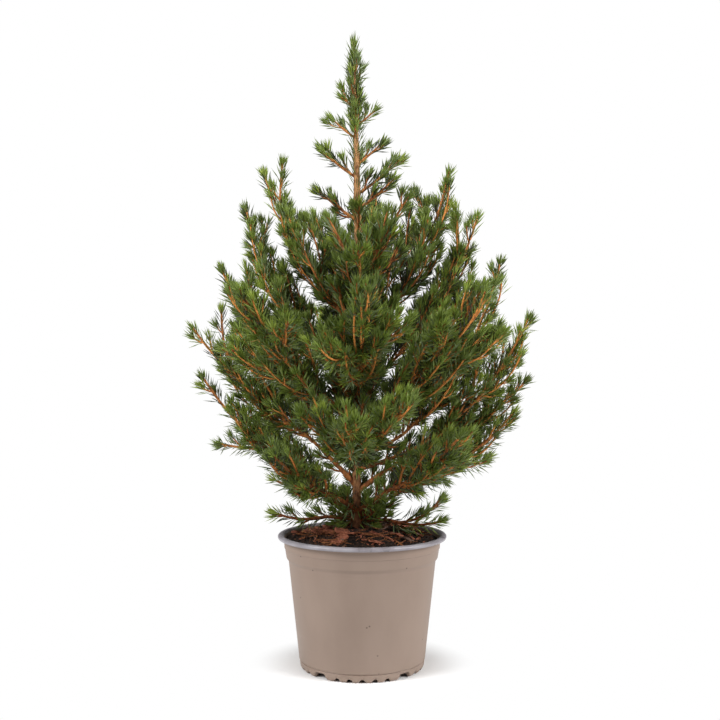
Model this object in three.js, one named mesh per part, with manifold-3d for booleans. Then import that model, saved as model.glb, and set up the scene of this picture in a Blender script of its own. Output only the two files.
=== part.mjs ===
// A dwarf Alberta spruce in a round nursery pot, in millimetres, +Z up.
// The origin is the centre of the pot's flat underside, and -Y is the plant's face side.
// Bearings are degrees round +Z from +X: 0 is right, 90 back, 180 left, 270 face side.
import * as THREE from "three";
import { mergeVertices } from "three/addons/utils/BufferGeometryUtils.js";
import Module from "manifold-3d";

const wasm = await Module();
wasm.setup();

// Pot.
const POT_HEIGHT = 101;
const RIM_RADIUS = 65;
const LIP_WIDTH = 3.4;
const LIP_EDGE = 2.8;
const NECK_RADIUS = 60;
const NECK_HEIGHT = 94;
const COLLAR_HEIGHT = 83.5;
const COLLAR_STEP = 1.5;
const FOOT_RADIUS = 47.8;
const FOOT_HEIGHT = 6.2;
const FOOT_ROUND = 1.6;
const FOOT_RING = 3.6;
const CHANNEL_DEPTH = 4.4;
const CHANNEL_WIDTH = 9;
const WALL = 1.4;
const POT_SIDES = 30;
const LARGE_NOTCH = { width: 11, height: 3.8, slant: 2, bearings: [49, 131, 229, 311] };
const SMALL_NOTCH = {
  width: 4.4,
  height: 2.2,
  slant: 1,
  bearings: [...gapBearings([90, 270], 5, 11.5), ...gapBearings([0, 180], 7, 11)],
};

// Evenly spaced bearings about the middle of each gap between the large notches.
function gapBearings(middles, count, spacing) {
  const offsets = Array.from({ length: count }, (_, i) => (i - (count - 1) / 2) * spacing);
  return middles.flatMap((middle) => offsets.map((offset) => middle + offset));
}

// Soil.
const SOIL_EDGE_HEIGHT = 96.5;
const GROUND = 105.5;
const GROUND_FLAT_RADIUS = 11;
const SOIL_BACK_RISE = 2.2;
const SOIL_SIDES = 15;

// Plant.
const TRUNK_TOP = 479;
const TRUNK_RADII = [
  [105.8, 3.1],
  [300, 2.8],
  [370, 2.6],
  [403, 2],
  [430, 1.4],
  [TRUNK_TOP, 0.7],
];
const FLARE = 2.6;
const FLARE_LENGTH = 6;
const TRUNK_LEAN = [
  [105.8, -4],
  [170, -4.4],
  [260, -3.2],
  [340, -3.4],
  [420, -5],
  [TRUNK_TOP, -6.3],
];
const BOUGH_RADIUS = 2.2;
const BOUGH_TAPER = 0.6;
const BARE_SHARES = [
  [112, 0.36],
  [135, 0.3],
  [165, 0.18],
  [260, 0.14],
];
const PLUME_RADII = [
  [112, 12],
  [125, 16],
  [160, 20],
  [250, 19],
];
const PLUME_SLENDERNESS = 0.15;
const TIP_RADIUS = 8.6;
const SHOOT_RADIUS = 6.4;
const LUMP = 0.13;
const TRUNK_SIDES = 8;
const TRUNK_STEPS = 12;
const LIMB_SIDES = 5;
const LIMB_STEPS = 3;
const PLUME_SIDES = 6;
const SHOOT_SIDES = 5;
const FIT_GAP = 0.3;
const SLIVER = 0.15;

// The crown's outline: [height, radius] where the tips of the boughs stand.
const CROWN_OUTLINE = [
  [112, 66],
  [120, 72],
  [146, 96],
  [166, 110],
  [196, 119],
  [220, 131],
  [262, 134],
  [308, 109],
  [350, 91],
  [384, 67],
  [400, 36],
  [424, 25],
  [446, 18],
];

// bough: name, height it leaves the trunk, bearing and height of its tip, upward bow, forks,
// and its reach as a share of the crown's outline.
function bough(name, from, bearing, top, bow, forks = [], share = 1) {
  return { name, from, bearing, top, bow, forks, share };
}

// fork: where it leaves the bough (share of its length), bearing and height of its tip, share of reach.
const fork = (at, bearing, top, share = 1) => ({ at, bearing, top, share });

const BOUGHS = [
  bough("left_skirt", 112, 197, 119, -0.05),
  bough("right_skirt", 111.5, -16, 113, -0.1, [fork(0.4, -2, 122, 0.75), fork(0.3, -12, 130, 0.8)]),
  bough("left_low", 113, 185, 224, 0.06, [fork(0.55, 176, 165, 1.03)], 0.95),
  bough("right_low", 114, -5, 196, 0.05, [fork(0.5, 7, 160), fork(0.45, -17, 147, 0.82)]),
  bough("front_left_low", 119, 236, 170, 0.02, [fork(0.45, 216, 152, 0.85)]),
  bough("front_right_low", 117, 307, 184, 0.02, [fork(0.45, 331, 162, 0.85)]),
  bough("front_low", 158, 266, 192, 0.05, [fork(0.4, 287, 208, 0.9), fork(0.3, 240, 200, 0.7)]),
  bough("back_left_low", 116, 139, 184, 0.04, [fork(0.5, 159, 160, 0.9)]),
  bough("back_right_low", 117, 43, 180, 0.04, [fork(0.5, 23, 158, 0.9)]),
  bough("back_low", 128, 94, 206, 0.05, [fork(0.5, 71, 192, 0.95)]),
  bough("left_mid", 138, 178, 261, -0.02, [fork(0.55, 189, 275, 0.87)]),
  bough("right_mid_low", 133, 2, 220, -0.03, [fork(0.4, -12, 232, 0.7)]),
  bough("right_mid", 150, -4, 269, 0.27, [fork(0.6, 8, 254, 0.82)]),
  bough("front_left_mid", 186, 225, 284, 0.08, [fork(0.4, 204, 243, 0.86), fork(0.4, 243, 262, 0.85)]),
  bough("front_mid", 200, 271, 285, 0.08, [fork(0.35, 254, 244, 0.85), fork(0.3, 290, 262, 0.7)]),
  bough("front_right_mid", 182, 316, 288, 0.1, [fork(0.4, 337, 251, 0.85), fork(0.4, 300, 258, 0.85)]),
  bough("back_left_mid", 162, 143, 270, 0.08, [fork(0.5, 124, 252, 0.95)]),
  bough("back_mid", 182, 89, 262, 0.06, [fork(0.4, 108, 280, 0.9)]),
  bough("back_right_mid", 170, 39, 277, 0.08, [fork(0.5, 59, 256, 0.95)]),
  bough("left_upper_low", 172, 183, 306, 0.1, [fork(0.6, 164, 308, 0.88)]),
  bough("right_upper_low", 158, -8, 311, 0.28),
  bough("left_upper", 205, 180, 354, 0.15, [fork(0.6, 168, 346, 0.84)], 1.04),
  bough("right_upper", 214, 3, 348, 0.22, [fork(0.55, -14, 352, 0.83)]),
  bough("left_top", 254, 195, 386, 0.15, [fork(0.35, 177, 381, 1.13)], 1.02),
  bough("right_top", 250, 8, 383, 0.21, [fork(0.45, 27, 371, 0.66)], 1.04),
  bough("front_top", 262, 238, 342, 0.06, [fork(0.2, 310, 356, 0.62), fork(0.3, 268, 312, 0.75)], 0.52),
  bough("back_top", 264, 82, 368, 0.1, [fork(0.3, 124, 350, 0.85), fork(0.35, 54, 338, 0.8)]),
];

// The tufts that clothe the leader: their stretch of the trunk, and side shoots on it.
const shoot = (from, bearing, top, reach) => ({ from, bearing, top, reach });
const LEADER_TUFTS = [
  {
    name: "leader_low",
    from: 312,
    to: 362,
    radius: 7,
    shoots: [shoot(342, 176, 366, 38), shoot(334, -6, 374, 29), shoot(326, 266, 352, 28), shoot(330, 97, 358, 34)],
  },
  {
    name: "leader_middle",
    from: 364,
    to: 402,
    radius: 7,
    shoots: [shoot(372, 182, 398, 37), shoot(366, 4, 389, 33), shoot(379, -8, 402, 19), shoot(372, 92, 400, 26)],
  },
  {
    name: "leader_tip",
    from: 403.5,
    to: 482,
    radius: 8.5,
    shoots: [shoot(404, 184, 421, 27), shoot(417, 176, 439, 18.5), shoot(405, -4, 428, 13), shoot(418, 84, 440, 15)],
  },
];

const radians = THREE.MathUtils.degToRad;

// A straight-line reading of a table of [key, value] rows.
function lookUp(rows, key) {
  const above = rows.findIndex(([k]) => k >= key);
  if (above === 0) return rows[0][1];
  if (above < 0) return rows.at(-1)[1];
  const [k0, v0] = rows[above - 1];
  const [k1, v1] = rows[above];
  return v0 + ((key - k0) / (k1 - k0)) * (v1 - v0);
}

function standard(color, roughness, metalness = 0) {
  return new THREE.MeshStandardMaterial({ color, roughness, metalness });
}

// Colours: taupe plastic, dark soil, orange-brown bark and dull green needles.
const POT_FINISH = () => standard(0x9c8f84, 0.55);
const SOIL_FINISH = () => standard(0x2e2019, 0.95);
const BARK_FINISH = () => standard(0x8a5a3a, 0.85);
const NEEDLE_FINISH = () => standard(0x4d6a38, 0.7);

// A closed three.js geometry as a manifold solid.
function solidOf(geometry) {
  const plain = geometry.clone().deleteAttribute("normal").deleteAttribute("uv");
  const merged = mergeVertices(plain, 1e-3);
  return new wasm.Manifold(
    new wasm.Mesh({
      numProp: 3,
      vertProperties: new Float32Array(merged.attributes.position.array),
      triVerts: new Uint32Array(merged.index.array),
    }),
  );
}

// A manifold solid as a named three.js mesh.
function meshOf(solid, name, material) {
  const { vertProperties, triVerts } = solid.getMesh();
  const geometry = new THREE.BufferGeometry();
  geometry.setAttribute("position", new THREE.BufferAttribute(vertProperties, 3));
  geometry.setIndex(new THREE.BufferAttribute(triVerts, 1));
  geometry.computeVertexNormals();
  const mesh = new THREE.Mesh(geometry, material);
  mesh.name = name;
  return mesh;
}

function largestBody(solid) {
  return solid.decompose().reduce((a, b) => (b.volume() > a.volume() ? b : a));
}

function pointAt(bearing, reach, height) {
  const angle = radians(bearing);
  return new THREE.Vector3(reach * Math.cos(angle), reach * Math.sin(angle), height);
}

// A lathe turned from [share of length, radius] rows and laid along a curve.
// shape(share, angle) scales the radius, so that the section can be uneven.
function alongCurve(curve, rows, sides, across, shape = () => 1) {
  const profile = rows.map(([share, radius]) => new THREE.Vector2(radius, share));
  const geometry = new THREE.LatheGeometry(profile, sides);
  const position = geometry.getAttribute("position");
  for (let i = 0; i < position.count; i += 1) {
    const share = THREE.MathUtils.clamp(position.getY(i), 0, 1);
    const x = position.getX(i);
    const z = position.getZ(i);
    const scale = shape(share, Math.atan2(z, x));
    const tangent = curve.getTangentAt(share);
    const side = new THREE.Vector3().crossVectors(across, tangent).normalize();
    const other = new THREE.Vector3().crossVectors(side, tangent);
    const placed = curve.getPointAt(share);
    placed.addScaledVector(side, x * scale).addScaledVector(other, z * scale);
    position.setXYZ(i, placed.x, placed.y, placed.z);
  }
  return solidOf(geometry);
}

const UP = new THREE.Vector3(0, 0, 1);
const BACK = new THREE.Vector3(0, 1, 0);

// ---- Pot and soil ----

// The pot's outline from the middle of its underside, up the outside and down the inside.
function potProfile() {
  const channelIn = FOOT_RADIUS - FOOT_RING - CHANNEL_WIDTH;
  const channelOut = FOOT_RADIUS - FOOT_RING;
  const bodyTop = NECK_RADIUS - COLLAR_STEP - 2;
  const outside = [
    [0, 0],
    [channelIn, 0],
    [channelIn + 0.4, CHANNEL_DEPTH],
    [channelOut - 0.4, CHANNEL_DEPTH],
    [channelOut, 0],
    [FOOT_RADIUS - FOOT_ROUND, 0],
    [FOOT_RADIUS - FOOT_ROUND / 4, FOOT_ROUND],
    [FOOT_RADIUS, FOOT_HEIGHT - 0.5],
    [FOOT_RADIUS - 0.5, FOOT_HEIGHT],
    [FOOT_RADIUS + 0.5, FOOT_HEIGHT + 0.6],
    [bodyTop, COLLAR_HEIGHT - 1.5],
    [bodyTop + COLLAR_STEP, COLLAR_HEIGHT],
    [NECK_RADIUS - 0.3, NECK_HEIGHT],
    [RIM_RADIUS - 0.5, POT_HEIGHT - LIP_EDGE - 0.9],
    [RIM_RADIUS, POT_HEIGHT - LIP_EDGE / 2],
    [RIM_RADIUS - 0.9, POT_HEIGHT],
    [RIM_RADIUS - LIP_WIDTH, POT_HEIGHT],
  ];
  return [...outside, ...innerWall().reverse()];
}

// The inside of the pot, from the middle of its floor to the foot of the lip.
function innerWall() {
  const floorIn = FOOT_RADIUS - FOOT_RING - CHANNEL_WIDTH - WALL;
  const bodyTop = NECK_RADIUS - COLLAR_STEP - 2 - WALL;
  return [
    [0, WALL],
    [floorIn, WALL],
    [floorIn + 0.4, CHANNEL_DEPTH + WALL],
    [FOOT_RADIUS - WALL, CHANNEL_DEPTH + WALL],
    [bodyTop, COLLAR_HEIGHT],
    [NECK_RADIUS - WALL - 0.3, NECK_HEIGHT + 1],
    [NECK_RADIUS, POT_HEIGHT - 1.2],
  ];
}

// A bar through the foot ring at a bearing, of the section given as a shape.
function notchCutter(section, bearing) {
  const length = FOOT_RING * 2.4;
  const bar = new THREE.ExtrudeGeometry(section, { depth: length, bevelEnabled: false });
  const outward = new THREE.Matrix4().makeBasis(BACK.clone(), UP.clone(), new THREE.Vector3(1, 0, 0));
  bar.applyMatrix4(outward);
  bar.translate(FOOT_RADIUS - length / 1.6, 0, 0);
  bar.rotateZ(radians(bearing));
  return solidOf(bar);
}

function notchCutters({ width, height, slant, bearings }) {
  const section = new THREE.Shape();
  section.moveTo(-width / 2, -1);
  section.lineTo(width / 2, -1);
  section.lineTo(width / 2 - slant, height);
  section.lineTo(slant - width / 2, height);
  section.closePath();
  return bearings.map((bearing) => notchCutter(section, bearing));
}

function potSolid() {
  const profile = potProfile().map(([radius, height]) => new THREE.Vector2(radius, height));
  const turned = new THREE.LatheGeometry(profile, POT_SIDES).rotateX(Math.PI / 2);
  const notches = [...notchCutters(LARGE_NOTCH), ...notchCutters(SMALL_NOTCH)];
  return solidOf(turned).subtract(wasm.Manifold.union(notches));
}

// Soil: fills the pot, mounded to a small flat round the trunk and highest at the back.
function soilSolid() {
  const wall = innerWall()
    .slice(0, -1)
    .map(([radius, height]) => [Math.max(0, radius - FIT_GAP), height + FIT_GAP]);
  wall.at(-1)[1] = SOIL_EDGE_HEIGHT - 1;
  const edge = wall.at(-1)[0] + 0.3;
  const mound = [1, 0.85, 0.65, 0.42].map((share) => {
    const rise = (GROUND - SOIL_EDGE_HEIGHT) * (1 - share ** 2) ** 1.2;
    return [edge * share, SOIL_EDGE_HEIGHT + rise];
  });
  const rows = [...wall, ...mound, [GROUND_FLAT_RADIUS, GROUND], [0, GROUND]];
  const profile = rows.map(([radius, height]) => new THREE.Vector2(radius, height));
  const turned = new THREE.LatheGeometry(profile, SOIL_SIDES).rotateX(Math.PI / 2);
  const position = turned.getAttribute("position");
  for (let i = 0; i < position.count; i += 1) {
    const height = position.getZ(i);
    const reach = Math.hypot(position.getX(i), position.getY(i));
    if (height < SOIL_EDGE_HEIGHT - 0.1 || reach <= GROUND_FLAT_RADIUS + 0.1) continue;
    const angle = Math.atan2(position.getY(i), position.getX(i));
    const uneven = 0.5 * Math.sin(3 * angle + reach * 0.3) + SOIL_BACK_RISE * Math.sin(angle);
    position.setZ(i, height + (uneven * reach) / NECK_RADIUS);
  }
  return solidOf(turned);
}

// ---- Trunk and boughs ----

const trunkCurve = new THREE.CatmullRomCurve3(TRUNK_LEAN.map(([height, x]) => new THREE.Vector3(x, 0, height)));
const TRUNK_FOOT = TRUNK_LEAN[0][0];

function trunkPoint(height) {
  return new THREE.Vector3(lookUp(TRUNK_LEAN, height), 0, height);
}

function trunkRadius(share) {
  const flare = FLARE * Math.exp((-share * (TRUNK_TOP - TRUNK_FOOT)) / FLARE_LENGTH);
  return lookUp(TRUNK_RADII, THREE.MathUtils.lerp(TRUNK_FOOT, TRUNK_TOP, share)) + flare;
}

function trunkSolid(extra = 0) {
  const shares = [0, 0.01, 0.03, 0.07];
  for (let i = 1; i <= TRUNK_STEPS; i += 1) shares.push(THREE.MathUtils.lerp(0.07, 1, i / TRUNK_STEPS));
  const rows = shares.map((share) => [share, trunkRadius(share) + extra]);
  return alongCurve(trunkCurve, [[0, 0], ...rows, [1, 0]], TRUNK_SIDES, BACK);
}

function crownPoint(bearing, top, share = 1) {
  return pointAt(bearing, lookUp(CROWN_OUTLINE, top) * share, top);
}

// The path of a bough from the trunk's axis to the tip of its foliage.
function boughCurve({ from, bearing, top, bow, share }) {
  const start = trunkPoint(from);
  const tip = crownPoint(bearing, top, share);
  const middle = start.clone().lerp(tip, 0.5);
  const out = tip.clone().sub(start);
  middle.x += out.x * bow;
  middle.y += out.y * bow;
  middle.z -= out.z * bow;
  return new THREE.QuadraticBezierCurve3(start, middle, tip);
}

function boughGirth({ from }) {
  const share = (from - TRUNK_FOOT) / (TRUNK_TOP - TRUNK_FOOT);
  return BOUGH_RADIUS * (1 - 0.75 * share);
}

// The share of a bough's length that is bare wood, from the trunk to its foliage.
function bareShare({ from }) {
  return lookUp(BARE_SHARES, from);
}

function boughSolid(row, extra = 0) {
  const curve = stretchOf(boughCurve(row), 0, bareShare(row));
  const girth = boughGirth(row);
  const rows = [];
  for (let i = 0; i <= LIMB_STEPS; i += 1) {
    const share = i / LIMB_STEPS;
    const collar = 0.35 * girth * Math.exp(-share * 8);
    rows.push([share, girth * THREE.MathUtils.lerp(1, BOUGH_TAPER, share) + collar + extra]);
  }
  return alongCurve(curve, [[0, 0], ...rows, [1, 0]], LIMB_SIDES, UP);
}

// A part of a curve, as a curve of its own.
function stretchOf(curve, from, to) {
  const points = [];
  for (let i = 0; i <= 6; i += 1) points.push(curve.getPointAt(THREE.MathUtils.lerp(from, to, i / 6)));
  return new THREE.CatmullRomCurve3(points);
}

// ---- Masses of foliage ----

// The radius along a plume of foliage: blunt at its foot and narrow towards its tip.
function plumeRows(radius, tipRadius) {
  return [
    [0, 0],
    [0.02, radius * 0.5],
    [0.2, radius * 0.95],
    [0.45, radius * 0.9],
    [0.74, tipRadius],
    [0.93, tipRadius * 0.85],
    [1, 0],
  ];
}

// The same for one short shoot, of nearly even width.
function shootRows(radius) {
  return [
    [0, 0],
    [0.15, radius * 0.8],
    [0.6, radius],
    [0.92, radius * 0.85],
    [1, 0],
  ];
}

// A lumpy body of needles along a curve.
function plume(curve, rows, seed, extra = 0, sides = PLUME_SIDES, across = UP) {
  const grown = rows.map(([share, r]) => [share, r && r + extra]);
  const lumps = (share, angle) =>
    1 + LUMP * Math.sin(2 * angle + seed * 2.1 + share * 9) + LUMP * 0.7 * Math.sin(3 * angle - seed + share * 5);
  return alongCurve(curve, grown, sides, across, lumps);
}

function forkCurve(main, { at, bearing, top, share }) {
  const start = main.getPointAt(at);
  const tip = crownPoint(bearing, top, share);
  const bend = start.clone().addScaledVector(main.getTangentAt(at), start.distanceTo(tip) * 0.3);
  return new THREE.QuadraticBezierCurve3(start, bend, tip);
}

// The foliage of one bough: a plume on its end and one on each of its forks.
function boughMass(row, seed, extra = 0) {
  const main = boughCurve(row);
  const length = main.getLength();
  const start = bareShare(row) + (FIT_GAP - extra) / length;
  const radius = Math.min(lookUp(PLUME_RADII, row.from), length * PLUME_SLENDERNESS);
  const plumes = [plume(stretchOf(main, start, 1), plumeRows(radius, TIP_RADIUS), seed, extra)];
  row.forks.forEach((branch, i) => {
    const curve = forkCurve(main, branch);
    const branchRows = plumeRows(radius * 0.8, TIP_RADIUS * 0.92).toSpliced(3, 1);
    plumes.push(plume(curve, branchRows, seed + i + 1, extra, SHOOT_SIDES));
  });
  return wasm.Manifold.union(plumes);
}

// The foliage on one stretch of the leader: a sleeve round the trunk with side shoots.
function leaderMass({ from, to, radius, shoots }, seed, extra = 0) {
  const sleeve = new THREE.CatmullRomCurve3([from, (from + to) / 2, to].map(trunkPoint));
  const plumes = [plume(sleeve, shootRows(radius), seed, extra, PLUME_SIDES, BACK)];
  shoots.forEach((side, i) => {
    const start = trunkPoint(side.from);
    const tip = pointAt(side.bearing, side.reach, side.top);
    const bend = start.clone().lerp(tip, 0.5).add(new THREE.Vector3(0, 0, -2));
    const curve = new THREE.QuadraticBezierCurve3(start, bend, tip);
    plumes.push(plume(curve, shootRows(SHOOT_RADIUS), seed + i + 1, extra, SHOOT_SIDES));
  });
  return wasm.Manifold.union(plumes);
}

// ---- Assembly ----

const group = new THREE.Group();
group.add(meshOf(potSolid(), "pot", POT_FINISH()));
group.add(meshOf(soilSolid(), "soil", SOIL_FINISH()));
group.add(meshOf(trunkSolid(), "trunk", BARK_FINISH()));

// Each limb keeps clear of the trunk and of the limbs already placed.
const taken = [trunkSolid(FIT_GAP)];
for (const row of BOUGHS) {
  const limb = largestBody(boughSolid(row).subtract(wasm.Manifold.union(taken))).simplify(SLIVER / 2);
  group.add(meshOf(limb, "bough_" + row.name, BARK_FINISH()));
  taken.push(boughSolid(row, FIT_GAP));
}

// Each mass is cut round the limbs and round the masses already placed.
function addMass(name, grow) {
  const cut = grow(0).subtract(wasm.Manifold.union(taken));
  group.add(meshOf(largestBody(cut).simplify(SLIVER), "foliage_" + name, NEEDLE_FINISH()));
  taken.push(grow(FIT_GAP));
}

LEADER_TUFTS.forEach((tuft, i) => addMass(tuft.name, (extra) => leaderMass(tuft, i, extra)));
BOUGHS.forEach((row, i) => addMass(row.name, (extra) => boughMass(row, i, extra)));

export default group;
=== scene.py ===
"""A young dwarf Alberta spruce in a round nursery pot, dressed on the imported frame.

The limbs' centrelines and the tips and surfaces of the foliage masses are read from the frame. A seeded
branching rule grows shoots inside each mass, and needles clothe the shoots. Sizes are in metres, unless a
class or method says otherwise.
"""

import logging
import math
from collections.abc import Iterable, Sequence
from dataclasses import dataclass, field
from enum import Enum
from typing import Any

import bpy
import numpy as np
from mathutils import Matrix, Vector, noise
from mathutils.bvhtree import BVHTree


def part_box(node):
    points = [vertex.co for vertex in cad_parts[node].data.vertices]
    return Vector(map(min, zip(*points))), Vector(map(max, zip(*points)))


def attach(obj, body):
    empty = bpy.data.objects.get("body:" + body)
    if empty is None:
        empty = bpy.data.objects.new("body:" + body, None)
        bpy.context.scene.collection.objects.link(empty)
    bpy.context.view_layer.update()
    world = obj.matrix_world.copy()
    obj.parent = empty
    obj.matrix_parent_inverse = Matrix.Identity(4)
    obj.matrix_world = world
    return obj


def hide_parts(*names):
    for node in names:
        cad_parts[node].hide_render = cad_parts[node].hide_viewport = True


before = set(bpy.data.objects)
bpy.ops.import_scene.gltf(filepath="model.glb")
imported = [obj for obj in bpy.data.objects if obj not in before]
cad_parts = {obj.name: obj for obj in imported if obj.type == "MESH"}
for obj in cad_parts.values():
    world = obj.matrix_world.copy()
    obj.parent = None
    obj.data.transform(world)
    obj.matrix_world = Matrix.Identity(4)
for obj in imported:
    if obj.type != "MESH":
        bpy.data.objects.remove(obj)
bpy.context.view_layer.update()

log = logging.getLogger("spruce")

Colour = tuple[float, float, float, float]

MM = 0.001
SEED = 41
GOLDEN_ANGLE = math.radians(137.508)
UP = np.array([0.0, 0.0, 1.0])
ACROSS = np.array([1.0, 0.0, 0.0])
BODY = "root"

# Names in the frame
BOUGH = "bough_"
FOLIAGE = "foliage_"
LEADER_MASSES = ("foliage_leader_low", "foliage_leader_middle", "foliage_leader_tip")
SKIRTS = ("left_skirt", "right_skirt")  # boughs whose long side shoots grow only from their forks
FACES = (
    "foliage_front_left",
    "foliage_front_right",
    "foliage_front_low",
    "foliage_front_mid",
    "foliage_back",
)

# Growth, with heights in metres over the floor
OUTLINE_STEP = 14 * MM  # between the heights at which the crown's outline is read
INNER_HEIGHTS = (0.174, 0.295)  # where inner shoots grow straight from the trunk
FOOT_HEIGHTS = (0.104, 0.119)  # where the lowest shoots grow, just over the soil
TIP_ROOM = 5.5 * MM  # between a shoot's end and its mass's tip, for the needles
BARK_CLEARANCE = 0.8 * MM  # between a parent's bark and the place where a side shoot's room is measured
INNER_SPREAD = 9 * MM  # how far shoots deep in the crown grow past their mass
FACE_SPREAD = 15 * MM  # how far side shoots of the front and back masses grow past their mass
FACE_BOW = 0.5  # how much flatter a shoot grows that heads straight to the front
FORK_ANGLE = math.radians(40)  # between a fork and the bough that it leaves
BOUGH_TIPS = (0.42, 11 * MM)  # least share of the reach, and least gap, of the tips that a bough forks to
LEADER_TIPS = (0.25, 9 * MM)  # the same for the masses on the leader
LEADER_CLEAR = 7 * MM  # tips nearer than this to the trunk get no shoot
WOOD_TIP = 0.85 * MM  # radius of a bough at its tip
NARROWING = 0.85  # radius of a side shoot's foot, as a share of its parent's
TURN_JITTER = 0.35  # in radians, round the parent
ANGLE_JITTER = 0.12  # in radians, from the parent
SWAY = 0.04  # of a shoot's end, as a share of its length
REACH_RANGE = (0.72, 1.0)
SPACING_RANGE = (0.6, 1.4)
TOP_SHOOTS = (74 * MM, 17 * MM)  # where the leader's top shoots begin and end, from its tip

# Needles
PIECE_NEEDLES = 32000  # the most needles in one piece
SWEEP_HEIGHTS = (0.22, 0.36)  # where the needles' spread turns from wide to close
SWEEP_SHARES = (1.0, 0.68)
BARE_WOOD = ((0, 0.03, 0.11), (1, 0.9, 0.55))  # metres from a bough's tip, and share of needles kept there
BARE_FACE = 0.3  # how much a needle faces outwards before it may be left out
BARE_FACE_SHARE = 0.76  # the share of those needles that is left out
BARE_FACE_FROM = 13 * MM  # from the tip to the first needle that may be left out

GROUND_SHARES = (0.4, 0.29, 0.25, 1.0)  # what bark keeps of each channel, and of alpha, near the ground


# ---- Shader expressions ----


def srgb(red: int, green: int, blue: int) -> Colour:
    """Turn screen colour levels into the linear colour that a shader takes.

    Args:
        red: Level from 0 to 255.
        green: Level from 0 to 255.
        blue: Level from 0 to 255.

    Returns:
        The linear colour with full alpha.
    """

    def linear(level: float) -> float:
        """Give the linear share of one level."""
        share = level / 255
        return share / 12.92 if share <= 0.04045 else ((share + 0.055) / 1.055) ** 2.4

    return (linear(red), linear(green), linear(blue), 1.0)


def darker_near_ground(colour: Colour) -> Colour:
    """Give the darker, browner colour that bark is given near the ground."""
    return tuple(level * share for level, share in zip(colour, GROUND_SHARES))


class Tree:
    """A node tree whose nodes all come from one method."""

    tree: bpy.types.NodeTree

    def node(self, kind: str, settings: dict[str, Any] | None = None, inputs: dict | None = None) -> Any:
        """Add a node.

        Args:
            kind: The node's type.
            settings: Its properties, set before its sockets.
            inputs: Constants, sockets or wrapped values by input name or number.

        Returns:
            The new node.
        """
        made = self.tree.nodes.new(kind)
        for key, setting in (settings or {}).items():
            setattr(made, key, setting)
        for key, given in (inputs or {}).items():
            self.join(given, made.inputs[key])
        return made

    def join(self, given: Any, socket: bpy.types.NodeSocket) -> None:
        """Link a wrapped value or socket to an input, or set a constant on it.

        Args:
            given: The value, socket or constant.
            socket: The input that takes it.
        """
        if isinstance(given, Value):
            given = given.socket
        if isinstance(given, bpy.types.NodeSocket):
            self.tree.links.new(given, socket)
        else:
            socket.default_value = given


class Value:
    """A number that varies over a surface, joined to others by ordinary arithmetic."""

    def __init__(self, owner: Tree, socket: bpy.types.NodeSocket) -> None:
        """Wrap an output socket of a tree."""
        self.owner = owner
        self.socket = socket

    def _with(self, operation: str, first: Any, second: Any) -> "Value":
        """Add a Math node for two operands and give its result."""
        made = self.owner.node("ShaderNodeMath", {"operation": operation}, {0: first, 1: second})
        return Value(self.owner, made.outputs[0])

    def __add__(self, other: Any) -> "Value":
        """Add."""
        return self._with("ADD", self, other)

    def __sub__(self, other: Any) -> "Value":
        """Take away."""
        return self._with("SUBTRACT", self, other)

    def __rsub__(self, other: Any) -> "Value":
        """Take this from a number."""
        return self._with("SUBTRACT", other, self)

    def __mul__(self, other: Any) -> "Value":
        """Multiply."""
        return self._with("MULTIPLY", self, other)

    def __pow__(self, other: Any) -> "Value":
        """Raise to a power."""
        return self._with("POWER", self, other)

    __radd__ = __add__
    __rmul__ = __mul__


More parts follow.
